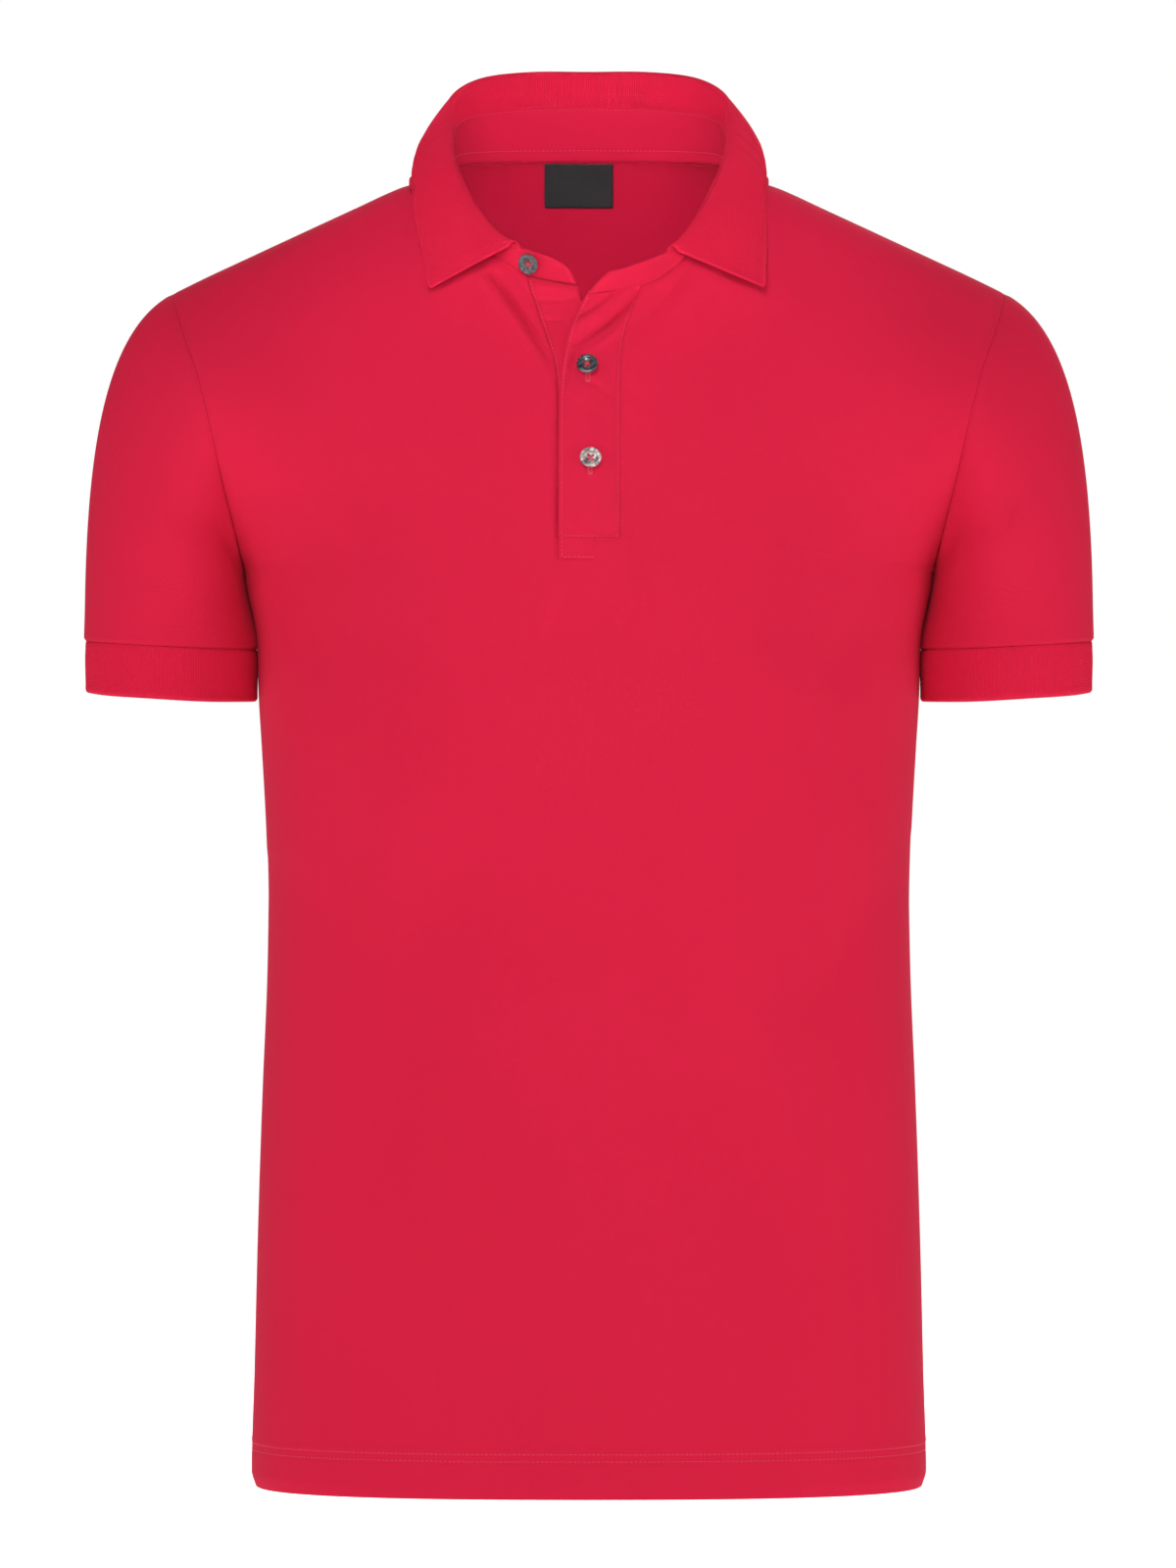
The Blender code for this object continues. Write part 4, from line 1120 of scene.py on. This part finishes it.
def hem_lines():
    lines = []
    for face in ("front", "back"):
        for needle in HEM_NEEDLES:
            half = float(BODY.at(HEM_Z + needle, "half_width"))
            angle = np.linspace(-math.pi / 2 + 0.012, math.pi / 2 - 0.012, 321)
            x = np.sign(angle) * half * np.abs(np.sin(angle)) ** (2.0 / SQUARENESS)
            z = hem_z(np.abs(x), face) + needle
            lines.append(cloth_line(x, z, face, SEAM_DIP - 0.12))
    return lines


def placket_lines():
    z = np.linspace(BOX_ROWS[1], -75.0, 121)
    level = np.minimum(z, neck_front_z(UPPER_PLACKET.at(z, "sewn"), 1) - 2.0)
    free_out = FREE_EDGE_OUT - 0.30 - 0.5 * ease((-190.0 - z) / 25.0)
    sewn_out = SEWN_EDGE_OUT - 0.28 - 0.25 * ease((-195.0 - z) / 25.0)
    lines = [cloth_line(UPPER_PLACKET.at(z, "free") + FREE_ROW, z, "front", free_out),
             cloth_line(UPPER_PLACKET.at(level, "sewn") - SEWN_ROW, level, "front", sewn_out)]
    share = np.linspace(0.08, 0.95, 41)
    for row in BOX_ROWS:
        x = blend(UPPER_PLACKET.at(row, "free"), UPPER_PLACKET.at(row, "sewn"), share)
        out = placket_out(share) * base_share(row - PLACKET_BASE_Z) - 0.36
        lines.append(cloth_line(x, np.full(len(x), row), "front", out))
    z = np.linspace(-130.0, -64.0, 61)
    lines.append(cloth_line(-slot_edge(z, -1) + 1.2, z, "front", 0.12))
    return lines


def stand_lines():
    """Rows inside the neck, above the stand's lower edge and below its upper one."""
    lines = []
    inner = STAND_OUT - STAND_WALL
    for from_edge, first, last in ((6.5, -158.0, 158.0), (-1.8, -166.0, 172.0)):
        turn = np.linspace(first, last, 401)
        high = np.linalg.norm(stand_top(turn) - neck_seam(turn), axis=-1) * stand_height(turn)
        up = from_edge / high if from_edge > 0 else 1.0 + from_edge / high
        lines.append((on_stand(turn, up, inner - 0.05), -stand_normal(turn, up)))
    return lines


def button_spot(name, x, z):
    """Where a button's thread comes out of the cloth, and the way it faces."""
    if name == "button_collar":
        turn = np.array((-math.degrees(math.pi - math.asin(abs(x) / NECK_X)),))
        middle = np.array((0.5,))
        return on_stand(turn, middle, STAND_OUT)[0], stand_normal(turn, middle)[0]
    facing = panel_normal(x, z, "front")
    return shifted(spot(x, panel_y(x, z, "front"), z), facing, BUTTON_SEAT), facing


def upright(place, facing):
    turn = Vector(facing).to_track_quat("Z", "Y").to_matrix().to_4x4()
    return Matrix.Diagonal((MM, MM, MM, 1.0)) @ Matrix.Translation(Vector(place)) @ turn


def add_peg(bm, segments, base, top, length, place):
    """A round peg of two radii, upright about a place."""
    bmesh.ops.create_cone(bm, cap_ends=True, segments=segments, radius1=base, radius2=top, depth=length,
                          matrix=Matrix.Translation(place))


def turned_mesh(name):
    """A button's disc, with a rounded rim and a dished face."""
    rim, high = BUTTON_RADIUS, BUTTON_HEIGHT
    profile = [(0.0, high - 0.95), (rim * 0.42, high - 0.95), (rim * 0.55, high - 0.85),
               (rim * 0.64, high - 0.5)]
    for angle in range(150, -61, -30):
        profile.append((rim * 0.8 + rim * 0.2 * math.cos(math.radians(angle)) * 0.98,
                        high - 0.62 + 0.62 * math.sin(math.radians(angle))))
    profile += [(rim * 0.86, 0.35), (rim * 0.6, 0.0), (0.0, 0.0)]
    bm = bmesh.new()
    verts = [bm.verts.new((r, 0.0, z)) for r, z in profile]
    edges = [bm.edges.new(pair) for pair in zip(verts, verts[1:])]
    bmesh.ops.spin(bm, geom=verts + edges, cent=(0.0, 0.0, 0.0), axis=(0.0, 0.0, 1.0),
                   angle=math.tau, steps=56, use_merge=True)
    bmesh.ops.remove_doubles(bm, verts=bm.verts, dist=0.0001)
    bmesh.ops.recalc_face_normals(bm, faces=bm.faces)
    return mesh_from(bm, name)


def make_button(name, x, z, finish, thread, tilt):
    """A turned button with four holes and the thread through them."""
    place, facing = button_spot(name, x, z)
    piece = add_object(name + "_disc", turned_mesh(name), finish)
    holes = bmesh.new()
    for across, along in HOLES:
        add_peg(holes, 18, HOLE_RADIUS, HOLE_RADIUS, 2 * BUTTON_HEIGHT, (across, along, BUTTON_HEIGHT / 2))
    cutter = add_object(name + "_holes", mesh_from(holes, name + "_holes"), finish)
    cut = piece.modifiers.new("Holes", "BOOLEAN")
    cut.operation = "DIFFERENCE"
    cut.solver = "EXACT"
    cut.object = cutter
    bpy.context.view_layer.update()
    drilled = bpy.data.meshes.new_from_object(piece.evaluated_get(bpy.context.evaluated_depsgraph_get()))
    piece.modifiers.clear()
    piece.data = drilled
    drilled.shade_smooth()
    drilled.set_sharp_from_angle(angle=math.radians(38.0))
    bpy.data.objects.remove(cutter)
    rest = upright(place + facing * BUTTON_LIFT, facing) @ Matrix.Rotation(tilt, 4, "Z")
    drilled.transform(rest)
    dress(piece, "pearl_button" if name == "button_lower" else "smoky_button", name)
    make_button_thread(name + "_thread", rest, thread)


def make_button_thread(name, rest, finish):
    """The crossed strands on the button's face, the ends down its holes and the shank behind it."""
    bm = bmesh.new()
    face = BUTTON_HEIGHT - 0.75
    for across in (-1, 1):
        for strand in (-0.24, 0.24):
            lift = face + (0.28 if across > 0 else 0.0)
            first = Vector((across * -HOLE_PITCH, -HOLE_PITCH, face - 0.15))
            last = Vector((across * HOLE_PITCH, HOLE_PITCH, face - 0.15))
            shift = Vector((strand, -across * strand, 0.0))
            add_strand(bm, first + shift, Vector((0.0, 0.0, lift + 0.2)) + shift, last + shift, 0.21)
    for across, along in HOLES:
        add_peg(bm, 8, 0.4, 0.4, face, (across, along, 0.2))
    add_peg(bm, 14, 2.1, 1.7, BUTTON_LIFT + 1.0, (0.0, 0.0, -BUTTON_LIFT / 2 - 0.2))
    mesh = mesh_from(bm, name)
    mesh.transform(rest)
    dress(add_object(name, mesh, finish), "body_cloth")


def add_strand(bm, first, middle, last, radius):
    """A short bent strand of thread, round in section."""
    rings = []
    for i in range(9):
        share = i / 8
        way = (middle - first) * (1.0 - share) + (last - middle) * share
        place = Matrix.Translation(curve(first, middle, last, share))
        place = place @ way.to_track_quat("Z", "Y").to_matrix().to_4x4()
        ring = bmesh.ops.create_circle(bm, cap_ends=i in (0, 8), segments=7, radius=radius, matrix=place)
        rings.append(ring["verts"])
    for low, high in zip(rings, rings[1:]):
        edges = [edge for edge in {edge for v in low + high for edge in v.link_edges}
                 if all(v in low for v in edge.verts) or all(v in high for v in edge.verts)]
        bmesh.ops.bridge_loops(bm, edges=edges)


def make_buttonholes(finish):
    """Close bars of thread down both sides of each upright slit, with longer bars across its ends."""
    half = BUTTONHOLE / 2
    level = np.arange(-half + 0.4, half - 0.3, 0.52)
    ends = np.array([end + shift for end in (-half, half) for shift in (-0.35, 0.0, 0.35)])
    middles, outs, lengths = [], [], []
    for _, x, z in BUTTONS[1:]:
        middle_z = z - 0.8
        free, sewn = UPPER_PLACKET.at(middle_z, "free"), UPPER_PLACKET.at(middle_z, "sewn")
        lift = placket_out((x - free) / (sewn - free)) + 0.05
        for across, heights, long, more in ((-0.72, level, 1.35, 0.0), (0.72, level, 1.35, 0.0),
                                            (0.0, ends, 2.9, 0.1)):
            places, ways = cloth_line(x + across, middle_z + heights, "front", lift + more)
            middles.append(places)
            outs.append(ways)
            lengths.append(np.full(len(heights), long))
    middles = np.concatenate(middles)
    alongs = np.broadcast_to(np.array((1.0, 0.0, 0.0)), middles.shape)
    add_stitches("buttonholes", middles, alongs, np.concatenate(outs), np.concatenate(lengths), 0.5, finish)


# ---- materials

def feed(tree, socket, value):
    """Link a value to a socket, or set a plain one there."""
    if isinstance(value, bpy.types.NodeSocket):
        tree.links.new(value, socket)
    else:
        socket.default_value = value


def calc(tree, operation, *values):
    node = tree.nodes.new("ShaderNodeMath")
    node.operation = operation
    for socket, value in zip(node.inputs, values):
        feed(tree, socket, value)
    return node.outputs[0]


def noise(tree, place, scale, detail=2.0, distortion=0.0):
    node = tree.nodes.new("ShaderNodeTexNoise")
    values = {"Vector": place, "Scale": scale, "Detail": detail, "Distortion": distortion}
    for label, value in values.items():
        feed(tree, node.inputs[label], value)
    return node.outputs[0]


def mixed(tree, share, dark, light):
    node = tree.nodes.new("ShaderNodeMix")
    node.data_type = "RGBA"
    for socket, value in ((0, share), (6, dark), (7, light)):
        feed(tree, node.inputs[socket], value)
    return node.outputs[2]


def object_place(tree):
    return tree.nodes.new("ShaderNodeTexCoord").outputs["Object"]


def cloth_place(tree):
    node = tree.nodes.new("ShaderNodeUVMap")
    node.uv_map = "Cloth"
    return node.outputs[0]


def mark_value(tree, name):
    node = tree.nodes.new("ShaderNodeAttribute")
    node.attribute_name = name
    return node.outputs["Fac"]


def pattern_angles(tree, cloth, width, height):
    """The ways across and up the cloth, as angles that turn once in each width and height."""
    parts = tree.nodes.new("ShaderNodeSeparateXYZ")
    tree.links.new(cloth, parts.inputs[0])
    return [calc(tree, "DIVIDE", calc(tree, "MULTIPLY", way, 1000.0 * math.tau), size)
            for way, size in zip(parts.outputs, (width, height))]


def new_group(name, inputs, outputs):
    group = bpy.data.node_groups.new(name, "ShaderNodeTree")
    for label, kind, value in inputs:
        socket = group.interface.new_socket(name=label, in_out="INPUT", socket_type=kind)
        if value is not None:
            socket.default_value = value
    for label, kind in outputs:
        group.interface.new_socket(name=label, in_out="OUTPUT", socket_type=kind)
    return group, group.nodes.new("NodeGroupInput").outputs, group.nodes.new("NodeGroupOutput").inputs


def pique_cells(group, cloth, u, v):
    """Small cells in staggered rows."""
    sway = calc(group, "MULTIPLY", noise(group, cloth, 260.0), 9.0)
    u, v = calc(group, "ADD", u, sway), calc(group, "SUBTRACT", v, sway)
    return calc(group, "MULTIPLY", calc(group, "COSINE", u), calc(group, "COSINE", v))


def rib_loops(group, _, u, v):
    """The loops up each rib."""
    slant = calc(group, "ABSOLUTE", calc(group, "SINE", calc(group, "MULTIPLY", u, 0.5)))
    return calc(group, "SINE", calc(group, "ADD", v, calc(group, "MULTIPLY", slant, 2.4)))


def knit_group(name, width, height, stitches, rise, yarn_rise, tone, grain):
    """A knit's stitches in height, and in tone as painted shade that follows their relief, with a fleck of
    uneven yarn.
    """
    group, given, made = new_group(
        name, (("Cloth", "NodeSocketVector", None), (width[0], "NodeSocketFloat", width[1]),
               (height[0], "NodeSocketFloat", height[1])),
        (("Height", "NodeSocketFloat"), ("Tone", "NodeSocketFloat")))
    knit = stitches(group, given[0], *pattern_angles(group, given[0], given[1], given[2]))
    yarn = noise(group, given[0], grain)
    raised = calc(group, "MULTIPLY", knit, rise)
    raised = calc(group, "ADD", raised, calc(group, "MULTIPLY", yarn, yarn_rise))
    group.links.new(calc(group, "ADD", raised, 0.4), made["Height"])
    # The stitches' part of the tone is painted shade, lighter on the raised stitches and darker between
    # them; the fleck is the yarn's own uneven colour.
    fleck = calc(group, "SUBTRACT", yarn, 0.5)
    group.links.new(calc(group, "ADD", calc(group, "MULTIPLY", knit, tone), fleck), made["Tone"])
    return group


def dye_and_shade_group():
    """The dyed colour's slow change over the cloth, dark to light, with the Tone added, which carries
    painted shade and highlight.
    """
    group, given, made = new_group(
        "dye_and_shade", (("Place", "NodeSocketVector", None), ("Tone", "NodeSocketFloat", 0.0),
                ("Dark", "NodeSocketColor", None), ("Light", "NodeSocketColor", None)),
        (("Color", "NodeSocketColor"),))
    cloud = noise(group, given["Place"], 9.0, 3.0)
    slow = calc(group, "MULTIPLY", calc(group, "SUBTRACT", cloud, 0.5), 0.5)
    share = calc(group, "ADD", calc(group, "ADD", slow, calc(group, "MULTIPLY", given["Tone"], 0.5)), 0.5)
    group.links.new(mixed(group, share, given["Dark"], given["Light"]), made["Color"])
    return group


def new_material(name):
    made = bpy.data.materials.new(name)
    made.use_nodes = True
    return made, made.node_tree


def use(tree, group, **values):
    node = tree.nodes.new("ShaderNodeGroup")
    node.node_tree = group
    for label, value in values.items():
        feed(tree, node.inputs[label], value)
    return node.outputs


def set_shader(tree, values, relief=None):
    """Give the shader its values and its relief: a height, its strength and its size in millimetres."""
    shader = tree.nodes["Principled BSDF"]
    for label, value in values.items():
        feed(tree, shader.inputs[label], value)
    if relief:
        height, strength, size = relief
        bump = tree.nodes.new("ShaderNodeBump")
        bump.inputs["Strength"].default_value = strength
        bump.inputs["Distance"].default_value = size * MM
        tree.links.new(height, bump.inputs["Height"])
        tree.links.new(bump.outputs["Normal"], shader.inputs["Normal"])


def knit_material(name, knit, dye_and_shade, dark, light, strength, size, marks=False):
    made, tree = new_material(name)
    pattern = use(tree, knit, Cloth=cloth_place(tree))
    tone = pattern["Tone"]
    if marks:
        # The marks paint shade into the rib's grooves and a highlight along its edges.
        tone = calc(tree, "SUBTRACT", tone, calc(tree, "MULTIPLY", mark_value(tree, "groove_shade"), 0.8))
        tone = calc(tree, "ADD", tone, calc(tree, "MULTIPLY", mark_value(tree, "edge"), 0.5))
    shade = use(tree, dye_and_shade, Place=object_place(tree), Tone=tone, Dark=dark, Light=light)["Color"]
    set_shader(tree, {"Base Color": shade, "Roughness": 0.9, "Sheen Weight": 0.06, "Sheen Roughness": 0.45,
                      "Sheen Tint": colour(255, 120, 140), "Specular IOR Level": 0.12},
               (pattern["Height"], strength, size))
    return made


def thread_material(name, dark, light, scale):
    """Shiny sewing thread, with its twist across it."""
    made, tree = new_material(name)
    twist = noise(tree, object_place(tree), scale)
    set_shader(tree, {"Base Color": mixed(tree, twist, dark, light), "Roughness": 0.5, "Sheen Weight": 0.1},
               (twist, 0.5, 0.15))
    return made


def label_material():
    """Black woven satin with a fine twill."""
    made, tree = new_material("black_woven_label")
    # The label's tone follows the weave's relief: painted shade, darker in the hollows of the twill and
    # lighter on its raised threads.
    u, v = pattern_angles(tree, cloth_place(tree), 0.55, 0.42)
    twill = calc(tree, "MULTIPLY", calc(tree, "SINE", calc(tree, "ADD", u, v)), 0.3)
    weave = calc(tree, "ADD", twill, calc(tree, "MULTIPLY", calc(tree, "SINE", v), 0.3))
    shade = mixed(tree, calc(tree, "ADD", weave, 0.5), colour(34, 35, 37), colour(50, 51, 53))
    set_shader(tree, {"Base Color": shade, "Roughness": 0.55, "Specular IOR Level": 0.2,
                      "Sheen Weight": 0.05}, (weave, 0.5, 0.12))
    return made


def button_material(name, deep, middle, pale):
    """Mottled shell-like plastic with soft clouds and fine streaks, polished."""
    made, tree = new_material(name)
    cloud = noise(tree, object_place(tree), 240.0, 5.0, 1.6)
    ramp = tree.nodes.new("ShaderNodeValToRGB")
    for element, position, tone in zip(ramp.color_ramp.elements, (0.36, 0.66), (deep, pale)):
        element.position = position
        element.color = tone
    ramp.color_ramp.elements.new(0.5).color = middle
    tree.links.new(cloud, ramp.inputs[0])
    rough = calc(tree, "ADD", calc(tree, "MULTIPLY", cloud, 0.2), 0.1)
    set_shader(tree, {"Base Color": ramp.outputs[0], "Roughness": rough, "Coat Weight": 0.4,
                      "Coat Roughness": 0.08}, (cloud, 0.15, 0.3))
    return made


# ---- studio

def stage_material():
    made, tree = new_material("studio_white")
    grain = noise(tree, object_place(tree), 60.0)
    shade = mixed(tree, grain, (0.93, 0.93, 0.93, 1.0), (0.96, 0.96, 0.96, 1.0))
    set_shader(tree, {"Base Color": shade, "Roughness": 0.9, "Emission Color": WHITE,
                      "Emission Strength": seen_white(tree, FLOOR_GLOW)})
    return made


def seen_white(tree, glow):
    """A strength that gives plain white to the eye and less light to the shirt."""
    path = tree.nodes.new("ShaderNodeLightPath")
    return calc(tree, "ADD", calc(tree, "MULTIPLY", path.outputs["Is Camera Ray"], 1.0 - glow), glow)


def make_stage():
    """A wide pale floor."""
    bm = bmesh.new()
    place = Matrix.Translation((0.0, 0.0, FLOOR_Z * MM))
    bmesh.ops.create_circle(bm, cap_ends=True, segments=96, radius=FLOOR_RADIUS, matrix=place)
    add_object("studio_floor", mesh_from(bm, "studio_floor"), stage_material())


def add_area_light(name, place, target, size, power, spread=180.0):
    light = bpy.data.lights.new(name, "AREA")
    light.shape = "RECTANGLE"
    light.size, light.size_y = size
    light.energy = power
    light.spread = math.radians(spread)
    thing = in_scene(name, light)
    thing.location = place
    thing.rotation_euler = (Vector(target) - Vector(place)).to_track_quat("-Z", "Y").to_euler()
    thing.visible_camera = False


def make_studio():
    make_stage()
    world = bpy.data.worlds.new("studio_light")
    bpy.context.scene.world = world
    world.use_nodes = True
    air = world.node_tree.nodes["Background"]
    air.inputs["Color"].default_value = WHITE
    world.node_tree.links.new(seen_white(world.node_tree, AIR_GLOW), air.inputs["Strength"])
    chest = (0.0, 0.0, -0.3)
    add_area_light("key", (-0.5, -3.2, 1.9), (0.0, 0.0, -0.25), (1.2, 1.2), 55.0)
    add_area_light("fill", (0.3, -4.2, 0.5), chest, (1.4, 1.4), 18.0)
    add_area_light("left side", (3.0, -1.4, -0.2), chest, (1.6, 2.4), 37.0)
    add_area_light("right side", (-3.0, -1.4, -0.2), chest, (1.6, 2.4), 26.0)
    add_area_light("behind", (0.3, 2.3, 1.7), chest, (2.4, 1.4), 64.0)
    add_area_light("neck", (0.0, -3.7, 0.12), (0.0, 0.03, 0.02), (0.35, 0.25), 0.2, NECK_SPREAD)


def make_camera():
    camera = bpy.data.cameras.new("camera")
    camera.sensor_fit = "VERTICAL"
    camera.sensor_height = 36.0
    camera.lens = 36.0 * CAMERA_DISTANCE / (PHOTO_HEIGHT * PHOTO_SCALE)
    thing = in_scene("camera", camera)
    thing.location = Vector((VIEW_X, -CAMERA_DISTANCE, VIEW_Z)) * MM
    thing.rotation_euler = (math.pi / 2, 0.0, 0.0)
    bpy.context.scene.camera = thing


# ---- the shirt

def main():
    make_camera()
    bpy.context.scene.view_settings.view_transform = "Standard"
    dye_and_shade = dye_and_shade_group()
    cells = knit_group("pique_knit", ("Cell Width", 0.95), ("Cell Height", 1.25), pique_cells,
                       0.3, 0.35, 0.5, 1100.0)
    loops = knit_group("rib_loops", ("Rib", RIB_PITCH), ("Loop", 1.05), rib_loops, 0.4, 0.4, 0.4, 1200.0)
    pique = knit_material("raspberry_pique", cells, dye_and_shade, colour(196, 21, 54), colour(211, 31, 66),
                          0.35, 0.15)
    rib = knit_material("raspberry_rib", loops, dye_and_shade, colour(199, 20, 53), colour(225, 32, 69),
                        0.6, 0.25, marks=True)
    thread = thread_material("raspberry_thread", colour(202, 28, 58), colour(228, 62, 92), 2600.0)
    smoke = button_material("smoky_shell", colour(38, 38, 42), colour(62, 64, 68), colour(98, 100, 104))
    pearl = button_material("pearl_shell", colour(84, 74, 76), colour(160, 146, 144), colour(214, 204, 198))
    make_front(pique)
    make_back(pique)
    for hand, side in (("left", 1), ("right", -1)):
        make_sleeve(hand, side, pique)
        make_cuff(hand, side, rib)
    make_stand(pique)
    make_leaf(rib)
    make_upper_placket(pique)
    make_under_placket(pique)
    make_label(label_material())
    for button, (finish, tilt) in zip(BUTTONS, ((smoke, 0.5), (smoke, 0.15), (pearl, -0.1))):
        make_button(*button, finish, thread, tilt)
    sew("hem_stitches", hem_lines(), thread, width=0.6)
    sew("placket_stitches", placket_lines(), thread, pitch=2.3)
    sew("stand_stitches", stand_lines(), thread, length=1.9)
    make_buttonholes(thread)
    make_studio()


main()
